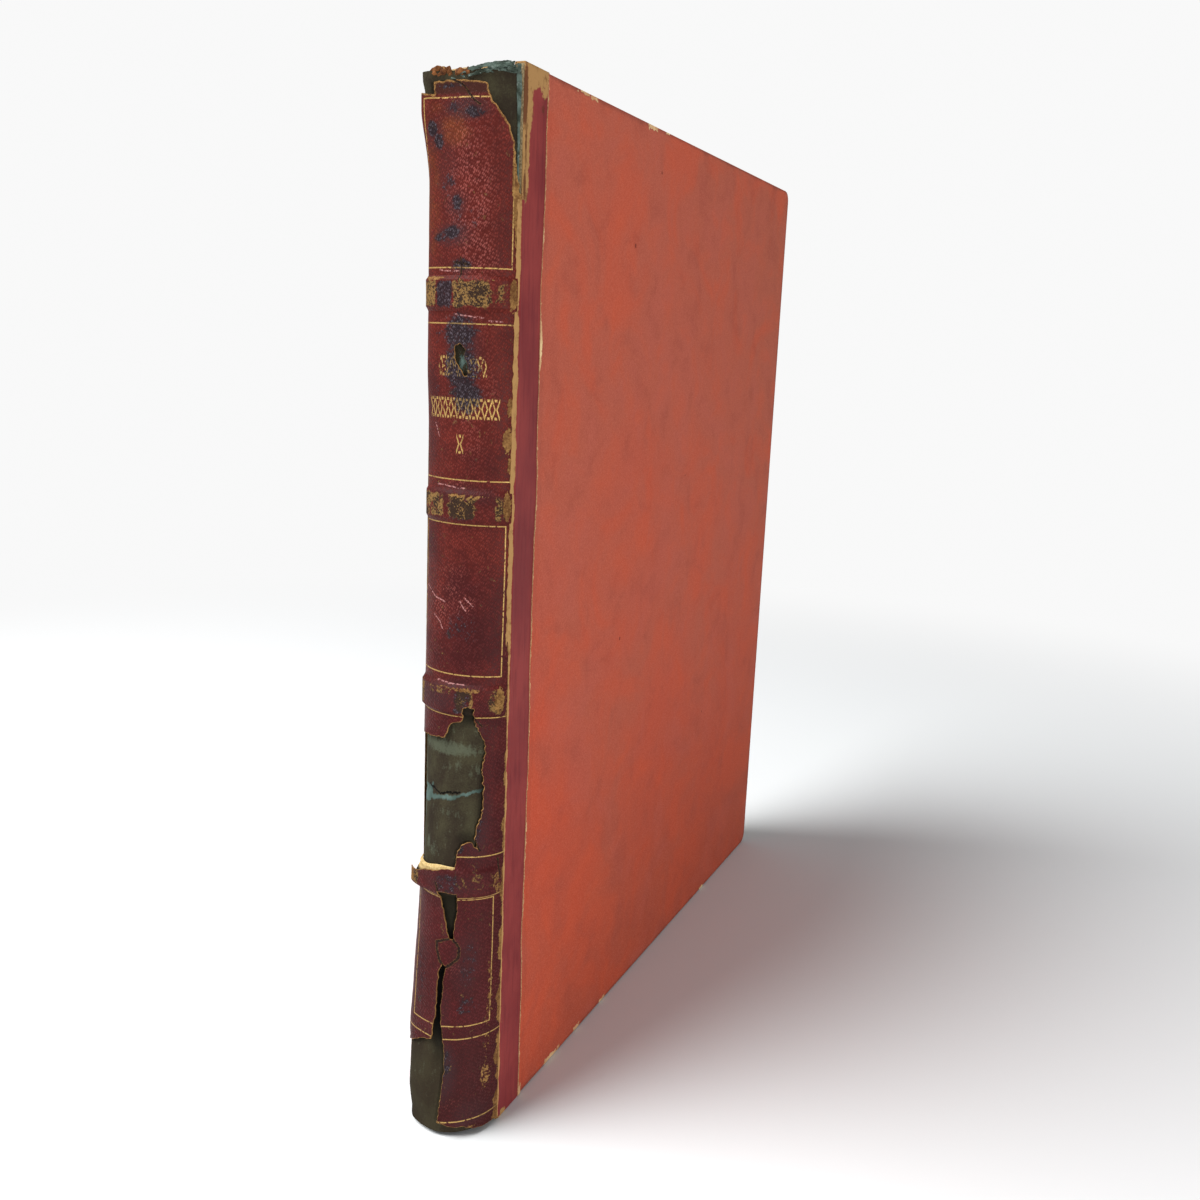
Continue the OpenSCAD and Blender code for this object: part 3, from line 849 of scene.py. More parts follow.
# Places along a cover's edges where the paper is chipped: (y from the joint, z, half
# length, half height)
CHIPS = [
    (40, 339.6, 5, 1), (47, 339, 3, 0.8), (98, 339.4, 4.5, 1.3), (112, 339.6, 2, 0.8),
    (14.6, 1.6, 1.6, 3), (40, 1, 7, 1.2), (62, 1, 2.5, 1.2), (86, 0.8, 3, 1),
    (205, 0.6, 3, 0.8),
]
# How much further from the joint the chips and marks lie on the back cover
BACK_COVER_SHIFT = 33
# Small brown marks on the paper, as (y from the joint, z, half size)
MARKS = [(86, 297, 0.9), (108, 325, 0.7), (88, 152, 0.8), (150, 210, 0.5), (190, 96, 0.6)]


def side_paper_finish():
    """Brick-red grained paper, mottled by damp and hands, darker low down in painted shade,
    white where it has torn.
    """
    f = Finish("side_paper")
    along = f.y - joint_y
    wide = f.speckle(95, 3, bent=0.4)
    cloud = f.speckle(38, 4, bent=0.8)
    mottle = f.speckle(16, 5, bent=0.5)
    grain = f.speckle(0.42, 2)
    warm = ((cover_h - f.z) / cover_h * 0.75 + (wide - 0.5) * 1.3).between(0.15, 0.85)
    faded = (along / cover_w * 0.6 + f.z / cover_h * 0.35 + (wide - 0.5) * 0.6).between(0.5, 1.1)
    near_edge = (cover_w - along).least(f.z).least(cover_h - f.z)
    soiled = 1 - (near_edge + (mottle - 0.5) * 3).between(0.3, 2.2)
    colour = f.coats(
        f.mix(warm, tint(166, 82, 63), tint(182, 71, 48)),
        (faded * 0.6, tint(150, 82, 62)),
        # Painted shade: the paper darker low down, where the low lamp lights it most
        ((1 - f.z.between(0, 170)) * 0.45, tint(130, 72, 54)),
        (cloud.between(0.48, 0.66) * 0.35, tint(190, 72, 40)),
        ((1 - cloud.between(0.36, 0.5)) * 0.3, tint(168, 84, 70)),
        (mottle.between(0.5, 0.7) * 0.25, tint(190, 78, 46)),
        ((1 - mottle.between(0.3, 0.5)) * 0.3, tint(136, 62, 50)),
        (grain.between(0.45, 0.7) * 0.22, tint(206, 118, 94)),
        ((1 - grain.between(0.3, 0.48)) * 0.2, tint(120, 50, 38)))
    place = along + (1 - f.x.between(-1, 1)) * BACK_COVER_SHIFT
    for y, z, size in MARKS:
        away = abs(place - y).most(abs(f.z - z))
        colour = f.mix((1 - away.between(size * 0.5, size)) * 0.7, colour, tint(84, 30, 26))
    rough_edge = (f.speckle(2, 4) - 0.5) * 2.4
    aways = [(abs(place - y) / half_y).most(abs(f.z - z) / half_z) + rough_edge
             for y, z, half_y, half_z in CHIPS]
    torn = f.read("torn") + (f.speckle(1.6, 4) - 0.5) * 3
    chip = strongest([1 - away.between(0.7, 0.95) for away in aways]
                     + [1 - torn.between(-0.25, 0.05)])
    colour = f.coats(
        colour,
        (soiled * 0.5, tint(104, 56, 46)),
        (chip, f.mix(mottle.between(0.35, 0.6), CREAM, tint(186, 140, 100))))
    relief = f.bump(grain * 0.8 + mottle * 0.2 - chip * 1.5, 0.09)
    return f.surface(colour, 0.8, relief, gloss=0.15)


def paper_finish(name, light, dark):
    """Aged laid paper with faint chain lines and foxing."""
    f = Finish(name)
    laid = (f.z * 5.2).sine() * 0.5 + 0.5
    colour = f.coats(
        light,
        (f.speckle(60, 4).between(0.25, 0.75) * 0.6, dark),
        (f.speckle(6, 4).between(0.66, 0.78) * 0.35, tint(150, 110, 70)))
    relief = f.bump(f.speckle(0.5, 2) * 0.7 + laid * 0.3, 0.04)
    return f.surface(colour, 0.88, relief, gloss=0.25)


def page_edge_finish():
    """Cut edges of the pages, in fine lines, browned by air and handling."""
    f = Finish("page_edges")
    leaves = f.speckle(0.5, 3, (1, 0.02, 0.02))
    groups = f.speckle(1.9, 3, (1, 0.03, 0.03))
    colour = f.coats(
        f.mix(leaves.between(0.3, 0.7), tint(214, 196, 156), tint(176, 152, 110)),
        (groups.between(0.55, 0.75) * 0.5, tint(140, 112, 76)),
        (f.speckle(30, 4).between(0.45, 0.8) * 0.4, tint(158, 132, 92)))
    return f.surface(colour, 0.9, f.bump(leaves * 0.6 + groups * 0.4, 0.25), gloss=0.2)


def fibre_finish(name, light, dark, size=0.6, stretch=(1, 1, 1)):
    """Board, cloth or cord: fibres of two tones."""
    f = Finish(name)
    fibre = f.speckle(size, 4, stretch)
    colour = f.coats(f.mix(fibre.between(0.3, 0.7), dark, light),
                     (f.speckle(size * 14, 3).between(0.4, 0.8) * 0.3, dark))
    return f.surface(colour, 0.92, f.bump(fibre, 0.2), gloss=0.15)


# The finishes, made once
BACK_LEATHER = back_leather_finish()
FLESH = flesh_finish()
LINING = lining_finish()
TUBE = tube_finish()
STRIP = strip_finish()
SIDE_PAPER = side_paper_finish()
TORN_PAPER = fibre_finish("torn_paper", tint(196, 160, 116), tint(150, 104, 74))
BAND_CARD = band_card_finish()
HEADCAP = flesh_finish("headcap_leather", tint(132, 84, 48), tint(70, 42, 28))
ENDPAPER = paper_finish("endpaper", tint(214, 196, 158), tint(192, 170, 128))
INFILL = paper_finish("infill_paper", tint(196, 180, 144), tint(172, 152, 116))
PAGES = page_edge_finish()
MILLBOARD = fibre_finish("millboard", tint(158, 140, 106), tint(104, 90, 66))
CLOTH = fibre_finish("cloth", tint(178, 160, 124), tint(120, 104, 76), 0.5)
CORD = fibre_finish("cord", tint(196, 168, 118), tint(130, 104, 68), 0.4, (3, 1, 1))


def dress_solids():
    """Gives the solids that stay visible their finishes."""
    finishes = {"text_block": PAGES, "spine_cloth": CLOTH, "head_band": CORD, "tail_band": CORD}
    for number in range(1, 6):
        finishes[f"sewing_cord_{number}"] = CORD
    for cover in ("front", "back"):
        finishes[f"{cover}_flyleaf"] = finishes[f"{cover}_pastedown"] = ENDPAPER
        finishes[f"{cover}_board"] = MILLBOARD
        finishes[f"{cover}_infill"] = INFILL
        finishes[f"{cover}_cord_slips"] = CORD
    for name, finish in finishes.items():
        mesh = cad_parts[name].data
        if not mesh.materials:
            mesh.materials.append(finish)
        for i in range(len(mesh.materials)):
            mesh.materials[i] = finish


# The torn leather of the back

def back_tears():
    """The torn outlines in the leather of the back, as (across, z), each with the width
    over which its rim is frayed."""
    return [
        (ragged(HEAD_TEAR, 1, 0.22), 0.75),
        (ragged(TITLE_HOLE, 5, 0.2), 0.03),
        (ragged(MIDDLE_TEAR, 2, 0.35), 0.2),
        (ragged(CRACK_TOP, 6, 0.2), 0.14),
        (ragged(TAIL_TEAR, 4, 0.22), 0.15),
    ]


# Patches of the back, as (x, z, half width, half height, strength)
DARK_PATCHES = [
    (-10.3, 320.8, 1.8, 2.6, 1), (-8.3, 317.6, 1.8, 2.6, 1), (-1.9, 300.5, 1.9, 2.4, 0.9),
    (-3.7, 292.2, 3.4, 2, 1), (-8, 290.6, 3, 1.5, 0.7), (-0.3, 283, 3.4, 2, 0.85),
    (3.7, 325.2, 3.4, 2, 0.85), (-2.8, 326.6, 2.4, 1.5, 0.6), (-5.3, 306, 4, 4, 0.45),
    (-3, 332, 9, 0.45, 0.55), (-3, 333, 9, 0.3, 0.6), (1, 296, 5, 5, 0.3),
    (-0.6, 263.4, 6, 6, 0.9), (0.2, 253, 6.4, 8, 0.95), (1.8, 245, 5.6, 6, 0.92),
    (-8.5, 262, 1.5, 3, 0.5), (-8.5, 246, 1.6, 2.4, 0.3), (1, 173, 7, 6, 0.4),
    (9, 112, 2.4, 10, 0.6), (5, 103, 2, 4, 0.6), (9, 62, 3, 9, 0.4), (3, 27, 2.6, 6, 0.7),
    (9, 47, 3, 4, 0.45), (-8, 55, 3.4, 14, 0.35), (2, 88.6, 4, 3.6, 0.6),
]
WORN_PATCHES = [
    (-9, 279, 6.5, 0.6, 0.75), (5, 278.6, 7, 0.5, 0.5), (14.2, 274.6, 1, 5.4, 0.95),
    (3, 214.6, 8, 0.8, 0.6), (14, 211.5, 1.1, 5, 0.9), (-14.4, 150, 1.4, 4.4, 0.7),
    (3, 153.6, 8, 0.9, 0.55), (13.6, 150.5, 1.4, 4.6, 0.75), (-13, 89.5, 1.9, 5, 0.95),
    (-9, 92, 5, 0.7, 0.5), (14.4, 89, 1, 5, 0.5), (14.2, 242, 0.8, 3.2, 0.85),
    (13.8, 232, 1.2, 4.4, 0.85), (14.4, 224, 0.7, 3, 0.7), (-14.6, 263, 0.7, 3, 0.6),
    (7, 3.4, 8, 0.8, 0.55), (13.8, 20, 0.9, 6, 0.55), (14, 46, 0.6, 30, 0.4),
]
# Where the pebble tops are rubbed and carry painted highlights, and painted highlight lines along
# the feet of the bands
RUB_AND_HIGHLIGHT_PLACES = [
    (2, 302, 8, 19, 1), (5, 286, 6, 8, 0.9), (0, 268, 8, 1.1, 0.8), (2, 281, 8, 1, 0.7),
    (-4, 180, 7, 10, 0.6), (2, 180, 4, 5, 0.7), (3, 233, 5, 7, 0.5), (0, 218, 8, 1, 0.6),
    (4, 60, 5, 3, 0.5), (7, 12, 4, 2.4, 0.5), (-2, 190, 6, 4, 0.5), (8, 250, 4, 9, 0.4),
]
BROWN_PATCHES = [
    (-2.5, 320.5, 6, 4.6, 0.85), (-11.5, 304, 3.5, 22, 0.6), (1, 325, 5, 2.5, 0.4),
    (-10, 327, 5, 2, 0.5), (2, 333, 8, 2, 0.3),
]
SMOKY_PATCHES = [
    (1, 326.4, 7.5, 3.4, 0.85), (-9.4, 319, 3.6, 5, 0.55), (-3.6, 291.4, 6.5, 3.6, 0.75),
    (-2, 300, 3.6, 4, 0.55), (-6, 310, 4, 9, 0.3), (-0.4, 282, 4, 3, 0.6), (0.6, 258, 6, 11, 0.7),
    (2, 244, 4.6, 6, 0.6), (-11, 240, 3, 16, 0.35), (0, 215, 13, 3, 0.35), (-11, 190, 3, 16, 0.35),
    (-6, 150, 9, 4.6, 0.75), (3, 155, 8, 2, 0.4), (9, 110, 4, 14, 0.6), (3, 89, 8, 4, 0.45),
    (8, 62, 4, 12, 0.35), (3, 24, 4.4, 11, 0.95), (11, 8, 4, 5, 0.4), (2, 45, 3, 9, 0.35),
]
# The pale places of the lining, and the darker places, partly dark card and partly
# painted shade under the leather's edge
PALE_PATCHES = [
    (-3, 133.6, 14, 2.6, 1), (-13, 112, 1.6, 22, 0.7), (4, 127, 7, 3, 0.35),
    (0, 112, 7, 2, 0.35), (-9, 99, 6, 3, 0.5),
]
DARK_AND_SHADE_PATCHES = [
    (2.4, 80, 5, 8, 0.75), (2, 68, 5, 8, 0.95), (1.6, 60, 5, 7, 1), (1, 46, 3.4, 18, 1),
    (1.2, 36, 2.2, 5, 0.8), (5.6, 146, 4, 4, 0.7), (10.4, 114, 1.4, 24, 0.5), (6, 104, 3, 3, 0.4),
]
# Zones of the raised bands that are rubbed to specks, and those that are stained too
SPECKED_ZONES = [
    (-11.9, 274.7, 3.6, 4.2, 0.95), (3.4, 274.7, 6.2, 4.1, 1), (11.8, 274.7, 1.6, 4, 0.35),
    (-10, 211.2, 5.6, 3.9, 0.75), (1.4, 211.2, 5.2, 4, 0.85), (12.6, 211.2, 1.5, 4, 0.6),
    (-13, 150, 2, 4, 0.75), (12.8, 150.2, 2, 4.2, 0.6), (4, 150.4, 3.4, 4, 0.55),
    (-4, 152.6, 5, 1.2, 0.4), (-12, 89.5, 2.8, 4.2, 0.85), (9.5, 90, 5, 3, 0.3),
    (1, 89, 5, 3.4, 0.25),
]
STAINED_ZONES = [
    (-5.4, 274.6, 3.1, 4.3, 1), (5, 273.4, 2.4, 2.8, 0.55), (-13, 275, 2, 3, 0.3),
    (1.2, 210.8, 4.6, 4, 0.75), (-13.4, 210.6, 2, 3.6, 0.6), (3.6, 149.6, 3, 4, 0.75),
    (1.6, 88.8, 4, 4, 0.6),
]


def patches(x, z, places, power=2, soft=0.9):
    """How strongly a list of patches covers points seen at x, z from behind."""
    cover = np.zeros(len(x))
    for px, pz, half_x, half_z, strength in places:
        away = (abs((x - px) / half_x) ** power + abs((z - pz) / half_z) ** power) ** (1 / power)
        cover = np.maximum(cover, strength * (1 - ease((away - 0.9 + soft / 2) / soft)))
    return cover


def zones(x, z, places):
    """The same for patches with squared corners and a firmer edge."""
    return patches(x, z, places, 8, 0.4)


def joint_wear(x, z):
    """Bare tan leather along the front joint, wide near the head and thin below."""
    width = 0.35 + 1.6 * ease((z - 281) / 20) + 0.14 * np.sin(z * 0.31) + 0.1 * np.sin(z * 0.83)
    return np.where(x > 0, ease((x - back_half + width) / 0.4) * 0.95, 0)


def frame_place(z):
    """Where the gilt frames' upright lines stand, as x on the left and on the right."""
    left = -14.1 + 1 * ease((z - 303) / 16) + 4 * ease((118 - z) / 56)
    return left, 13.9 + 0.3 * ease((112 - z) / 60)


def spine_leather():
    """The torn leather of the back, with lifted rims and the values for its wear, stains and
    painted highlights.
    """
    tears = back_tears()
    outlines = [outline for outline, _ in tears]
    bm = back_sheet(64, 520, (leather_foot, cover_h), 0, outlines)
    flat, turn = sheet_places(bm)
    across, z = flat.T
    edge = distance_to(flat, outlines)
    rim = np.min([distance_to(flat, [outline]) / width for outline, width in tears], axis=0)
    points = back_point(turn, z, 0)
    x = points[:, 0]
    curl = np.maximum(0, 1 - edge / 2.6) ** 2 * (0.3 + 0.4 * np.abs(ripple(points, 6, 3)))
    curl *= ease((x + 15) / 4)
    uneven = 0.16 * ripple(points, 11, 1) + 0.07 * ripple(points, 3, 2)
    flare = 0.3 * ease((-x - 6) / 8) * ease((52 - z) / 18) * ease((z - 30) / 2)
    tab = 0.3 * ease((z - 330) / 3) * ease((x + 13) / 1.5)
    rise = (lift(z) + curl + uneven + tab + 0.1) * band_fade(turn) + flare
    points = back_point(turn, z, -rise, spring(turn, z))
    clear_of_cover = back_half + 0.1
    points[:, 0] = np.clip(points[:, 0], -clear_of_cover, clear_of_cover)
    place_vertices(bm, points)
    left, right = np.array([[across_of(side, h) for side in frame_place(h)] for h in z]).T
    store(bm, across=across, rim=rim, beyond_frame=np.maximum(across - right, left - across),
          dark=np.maximum(patches(x, z, DARK_PATCHES), zones(x, z, STAINED_ZONES)),
          specked=zones(x, z, SPECKED_ZONES),
          worn=np.maximum(patches(x, z, WORN_PATCHES), joint_wear(x, z)),
          rubbed=patches(x, z, RUB_AND_HIGHLIGHT_PLACES), brown=patches(x, z, BROWN_PATCHES),
          smoky=patches(x, z, SMOKY_PATCHES))
    finish_piece("torn_back_leather", bm, [BACK_LEATHER, FLESH], leather_t,
                 "spine_leather", taper=1 - 0.6 * np.exp(-edge / 0.9))


def spine_lining():
    """Dark card behind the leather, creased, with a pale band and a blue-green tear. It
    has swelled out where the leather is lost at the tail."""
    bm = back_sheet(44, 260, (1.5, cover_h - 3.2), 15)
    flat, turn = sheet_places(bm)
    z = flat[:, 1]
    depth = leather_t + paste_gap
    points = back_point(turn, z, depth)
    x = points[:, 0]
    fold_z = 118.5 + 0.2 * x + 1.2 * np.sin(x * 0.45)
    crease = np.exp(-((z - fold_z) / 1.1) ** 2) * ease((x + 16) / 4) * ease((12 - x) / 3)
    uneven = 0.18 * ripple(points, 14, 5) + 0.08 * ripple(points, 3, 6)
    swell = (0.9 * ease((33 - z) / 5) - 1.1 * ease((13 - z) / 10)) * ease((1.5 - x) / 6)
    rise = 0.75 * ease((z - 331) / 4) * ease((-9 - x) / 3)
    place_vertices(bm, back_point(turn, z, depth + 0.12 + uneven + 0.5 * crease - swell - rise))
    blot = abs(z - 116 - 0.2 * (x + 9.4)) / 3.4 + 1.3 * ease((x + 9.5) / 3.5)
    hole = 0.6 * np.exp(-((x - 0.5) / 3) ** 2 - ((z - 255) / 6) ** 2)
    store(bm, blue=np.maximum(1 - ease((blot - 0.5) / 0.7), hole),
          gloom=patches(x, z, DARK_AND_SHADE_PATCHES), pale=patches(x, z, PALE_PATCHES))
    finish_piece("lining_card", bm, [LINING], inlay_t, "spine_inlay")


def band_strip(i):
    """Strip of card that makes a raised band, counted from the tail. The lowest shows
    above the torn leather."""
    slope = band_w / 2 + band_slope * 0.6
    z = BAND_ZS[i]
    bm = back_sheet(48, 10, (z - slope, z + slope), 22.5)
    flat, turn = sheet_places(bm)
    level = flat[:, 1]
    height, sprung = level, 0
    if i == 0:
        x = back_half * np.cos(np.radians(turn))
        bare = 0.4 - 2 * ease((-x - 1) / 10)
        height = level + ease((level - z) / slope) * bare * ease((5.5 - x) / 2)
        sprung = spring(turn, level) * (1 - ease((level - z + 2) / 4))
    lifted = lift(level) * band_fade(turn)
    place_vertices(bm, back_point(turn, height, leather_t + paste_gap - lifted, sprung))
    number = len(BAND_ZS) - i
    finish_piece(f"band_card_{number}", bm, [BAND_CARD], band_card_t,
                 f"raised_band_{number}")


# The covers

# Where the strips are worn and creased, as (y from the joint, z, half width, half height,
# strength)
STRIP_WORN = [
    (0, 338, 13, 6, 1), (9, 338.5, 7, 3.4, 1), (1, 330, 4.4, 13, 1), (0.6, 316, 3.2, 12, 0.95),
    (1.4, 306, 2.6, 7, 0.75), (0.4, 290, 1.6, 12, 0.5), (1, 1, 5, 2, 0.7), (12, 336, 4, 5, 0.7),
]
STRIP_CREASES = [
    (0.6, 331, 1.1, 11, 0.9), (1.2, 317, 0.7, 9, 0.7), (1, 306, 0.8, 6, 0.8),
    (2.6, 303, 1.6, 2, 0.6), (5, 327, 1, 4, 0.4), (11.5, 330, 1.4, 3, 0.5),
]


def cover_ripple(y, z, size, seed):
    return ripple(np.stack([y, z, 0 * y], axis=-1), size, seed)


def strip_edge(z):
    """Line along which the leather ends on a cover, as a distance from the joint."""
    return (strip_w + 0.35 * np.sin(np.radians(z / cover_h * 1260))
            + 0.2 * np.sin(np.radians(z / cover_h * 2900 + 50)))


def paper_edge(z):
    """Torn edge of the side paper, which laps a little over the leather."""
    return strip_edge(z) - 0.9 + 0.25 * wander(z, 3.1, 2.7) + 0.45 * wander(z, 17, 8.1)


def spread(share, ends=0.75):
    """Shares from 0 to 1 that lie closer together at both ends."""
    return share * (1 - ends) + ends * (0.5 - 0.5 * np.cos(np.pi * share))


def round_corner(y, z, far, low, high, radius):
    """Draws the corners of a sheet in to a radius at its far edge."""
    for level, away in ((low + radius, -1), (high - radius, 1)):
        py = np.maximum(0, y - (far - radius)) / radius
        pz = np.maximum(0, (z - level) * away) / radius
        both = (py > 0) & (pz > 0)
        length = np.where(both, np.hypot(py, pz), 1)
        shrink = np.where(both, np.maximum(py, pz) / length, 1)
        y = np.where(both, far - radius + py * shrink * radius, y)
        z = np.where(both, level + away * pz * shrink * radius, z)
    return y, z


def wrap_edges(bm, ring, outward, steps, inner):
    """Carries the border of a cover's sheet round the board's edge and onto its inside.
    steps are (outward, x); inner is the rectangle left bare: y, low z, high z."""
    inner_y, inner_low, inner_high = inner
    base = {v: (v.co.copy(), outward[v]) for e in ring for v in e.verts}
    for out, x in steps + [(None, steps[-1][1])]:
        grown = bmesh.ops.extrude_edge_only(bm, edges=ring)["geom"]
        ring = [g for g in grown if isinstance(g, bmesh.types.BMEdge)]
        found = {}
        for v in [g for g in grown if isinstance(g, bmesh.types.BMVert)]:
            parent = next(e.other_vert(v) for e in v.link_edges if e.other_vert(v) in base)
            found[v] = base[parent]
            start, (away_y, away_z) = base[parent]
            if out is None:
                v.co = (x, min(start.y, inner_y), max(inner_low, min(inner_high, start.z)))
            else:
                v.co = (x, start.y + away_y * out, start.z + away_z * out)
        base = found


def edge_steps(face_x):
    """Steps (outward, x) round a board's edge, from its face to its inside."""
    steps = []
    for degrees in (30, 60, 90):
        turn = math.radians(degrees)
        steps.append((edge_roll * math.sin(turn), face_x - edge_roll * (1 - math.cos(turn))))
    steps.append((edge_roll, turn_in_x + edge_roll))
    for degrees in (60, 30):
        share = math.sin(math.radians(degrees))
        steps.append((edge_roll * share, turn_in_x + edge_roll * (1 - share)))
    return steps + [(0, turn_in_x)]


def cover_sheet(columns, rows, near, far, low, high, face_x, relief, radius=0):
    """A cover's skin: the face from y near(z) to far(z), wrapped round the board's head
    and tail, and round its fore-edge where its corners have a radius. Gives the sheet and
    the y and z of its vertices."""
    bm = flat_sheet(columns, rows)
    across, up = shares(bm)
    z = low + edge_roll + spread(up, 0.25) * (high - low - 2 * edge_roll)
    y = near(z) + spread(across) * (far(z) - (edge_roll if radius else 0) - near(z))
    far_y = far(z).max() if radius else math.inf
    if radius:
        y, z = round_corner(y, z, far_y - edge_roll, low + edge_roll, high - edge_roll,
                            radius - edge_roll)
    place_vertices(bm, np.stack([face_x + relief(y, z), joint_y + y, z], axis=-1))
    outward = {}
    corner_y = joint_y + far_y - radius
    for v, share, height in zip(bm.verts, across, up):
        at_end = -1 if height < AT_EDGE else 1 if height > 1 - AT_EDGE else 0
        dy = max(0, v.co.y - corner_y)
        dz = min(0, v.co.z - low - radius) + max(0, v.co.z - high + radius)
        if at_end or (radius and share > 1 - AT_EDGE):
            if dy > 0 and dz != 0:
                length = math.hypot(dy, dz)
                outward[v] = (dy / length, dz / length)
            else:
                outward[v] = (0, at_end) if at_end and dy == 0 else (1, 0)
    ring = [e for e in bm.edges if e.is_boundary and all(v in outward for v in e.verts)]
    wrap_edges(bm, ring, outward, edge_steps(face_x),
               (joint_y + far_y - turn_in_w, low + turn_in_w, high - turn_in_w))
    bmesh.ops.remove_doubles(bm, verts=bm.verts, dist=SAME_PLACE)
    points = coordinates(bm)
    return bm, points[:, 1] - joint_y, points[:, 2]


def to_side(bm, side):
    """Mirrors a sheet made for the front cover onto the back one."""
    if side < 0:
        bmesh.ops.scale(bm, vec=(-1, 1, 1), verts=bm.verts)
        bmesh.ops.reverse_faces(bm, faces=bm.faces)


def side_paper(side):
    """The paper of a cover, torn along the leather and wavy where it is pasted down."""
    cover = COVERS[side]
    low = strip_t - side_paper_t

    def relief(y, z):
        over = 1 - ease((y - strip_edge(z) - 0.4) / 1.6)
        wave = 0.12 * cover_ripple(y, z, 55, 4 + side) + 0.03 * cover_ripple(y, z, 9, 8 + side)
        return 0.55 * over + wave * ease((cover_w - y) / 8)

    bm, y, z = cover_sheet(56, 300, paper_edge, lambda z: 0 * z + cover_w - low, low,
                           cover_h - low, strip_x + side_paper_t, relief, corner_r)
    wedge = 1.5 * np.exp(-((z - 260) / 6.5) ** 2) + 0.9 * np.exp(-((z - 75) / 1.6) ** 2)
    store(bm, torn=y - paper_edge(z) - wedge - 0.45 * wander(z, 4.1, 5.5, side))
    to_side(bm, side)
    finish_piece(f"{cover}_paper_side", bm, [SIDE_PAPER, TORN_PAPER],
                 side_paper_t, f"{cover}_side_paper", f"{cover}_cover")


def cover_leather(side):
    """The strip of leather on a cover, worn through at the head and creased there."""
    cover = COVERS[side]

    def relief(y, z):
        return 0.05 * cover_ripple(y, z, 7, 12 + side) - 0.25 * ease((0.8 - y) / 0.8)

    bm, y, z = cover_sheet(18, 300, lambda z: 0 * z, strip_edge, 0, cover_h, half_t, relief)
    joint = 0.62 * (1 - ease((y - 0.2 - 0.3 * np.sin(z * 0.21)) / 0.7))
    store(bm, creased=patches(y, z, STRIP_CREASES),
          worn=np.maximum(patches(y, z, STRIP_WORN), joint))
    to_side(bm, side)
    finish_piece(f"{cover}_strip", bm, [STRIP], strip_t - 0.1,
                 f"{cover}_leather", f"{cover}_cover")


def joint_leather(side):
    """Worn leather that bends at a joint, from the back onto a cover."""
    cover = COVERS[side]
    low = 0.8
    bm = flat_sheet(10, 300)
    aside = coordinates(bm)[:, 0]
    z = low + shares(bm)[1] * (JOINT_LEATHER_TOPS[side] - low)
    edge = np.abs(aside)
    y = aside * joint_leather_half + edge ** 4 * wander(z, 2.3, 9.2 + side) * 0.5
    turn = np.degrees(np.arccos(np.clip(1 - np.maximum(0, -y - joint_gap) * 0.035, -1, 1)))
    on_back = back_point(turn, z, -0.12)[:, 0]
    x = np.where(y < -joint_gap, on_back, half_t + 0.08 - 0.15 * (edge ** 3))
    x = np.where(np.abs(y) < joint_gap, half_t - 0.02, x)
    place_vertices(bm, np.stack([x, joint_y + y, z], axis=-1))
    uneven = wander(z, 6.5, 4.2, side)
    store(bm, worn=0.92 - 0.75 * ease((y + 0.5 - 0.5 * uneven) / 0.7))
    to_side(bm, side)
    piece = finish_piece(f"{cover}_joint_leather", bm, [STRIP, FLESH],
                         joint_leather_t, body=None)
    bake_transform(piece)


# Torn paper and leather at the head

def hollow_tube():
    """Blue-green paper tube between the pages and the back, crumpled at its torn head. It
    runs once round: from one joint over the back to the other, and back over the pages."""
    back_share = 0.55
    bm = flat_sheet(96, 150)
    share, up = shares(bm)
    low = pages_low + paste_gap
    torn = 1.6 * wander(share * 9, 1, 1.3) + 0.6 * wander(share * 47, 1, 6.3)
    top = cover_h - 2.6 - 2.4 * ease((share - 0.2) / 0.15) + torn
    z = low + up * (top - low)
    outer = share < back_share
    turn = 30 + 120 * share / back_share
    behind = 0.8 * ease((cover_h - 4 - z) / 3)
    on_back = back_point(np.clip(turn, 0, 180), z,
                         leather_t + inlay_t + 2 * paste_gap + behind)
    round_r = pages_round_r + tube_t + 2 * paste_gap
    centre_y = joint_y - joint_gap - pages_back + pages_round_r
    run = 2 * (share - back_share) / (1 - back_share) - 1
    angle = math.asin(tube_half / round_r) * run
    on_pages = np.stack([round_r * np.sin(angle), centre_y - round_r * np.cos(angle), z],
                        axis=-1)
    points = np.where(outer[:, None], on_back, on_pages)
    crumple = ease((z - (cover_h - 9)) / 7) * outer
    points[:, 1] -= crumple * (0.5 * ripple(points, 2.4, 21) - 0.3)
    points[:, 0] += crumple * 0.4 * ripple(points, 3.1, 22)
    points[:, 1] = np.minimum(points[:, 1], joint_y - joint_gap)
    place_vertices(bm, points)
    bmesh.ops.remove_doubles(bm, verts=bm.verts, dist=SAME_PLACE)
    finish_piece("torn_tube", bm, [TUBE], tube_t, "hollow_tube")


# Crumpled ribbons of the tube's paper at the head: runs of (x, z, depth), then the
# width at both ends, and how strongly the ribbon is folded
SCRAPS = [
    ([(1, 334.9, 0.6), (5, 336, 0.3), (9, 337.6, 0), (13.6, 338.6, 0.4)], 0.5, 1.5, 1.1),
    ([(-1.5, 336.2, 1), (4, 337.2, 0.6), (9, 338.4, 0.5), (13, 338.9, 0.9)], 0.9, 1.3, 0.9),
    ([(2.6, 335.6, 1.1), (7, 336.4, 1), (10.6, 337.4, 0.9), (14.2, 337.6, 1)], 0.6, 2.4, 1.2),
    ([(-13.8, 333.6, 1.3), (-11, 334.6, 1.4), (-5, 334.8, 1.3), (1.6, 335.2, 1.1)], 0.5, 0.9, 0.4),
    ([(-14.2, 331, 1.2), (-14, 332.6, 1.1), (-13.4, 334, 1.2)], 0.9, 1, 0.3),
]


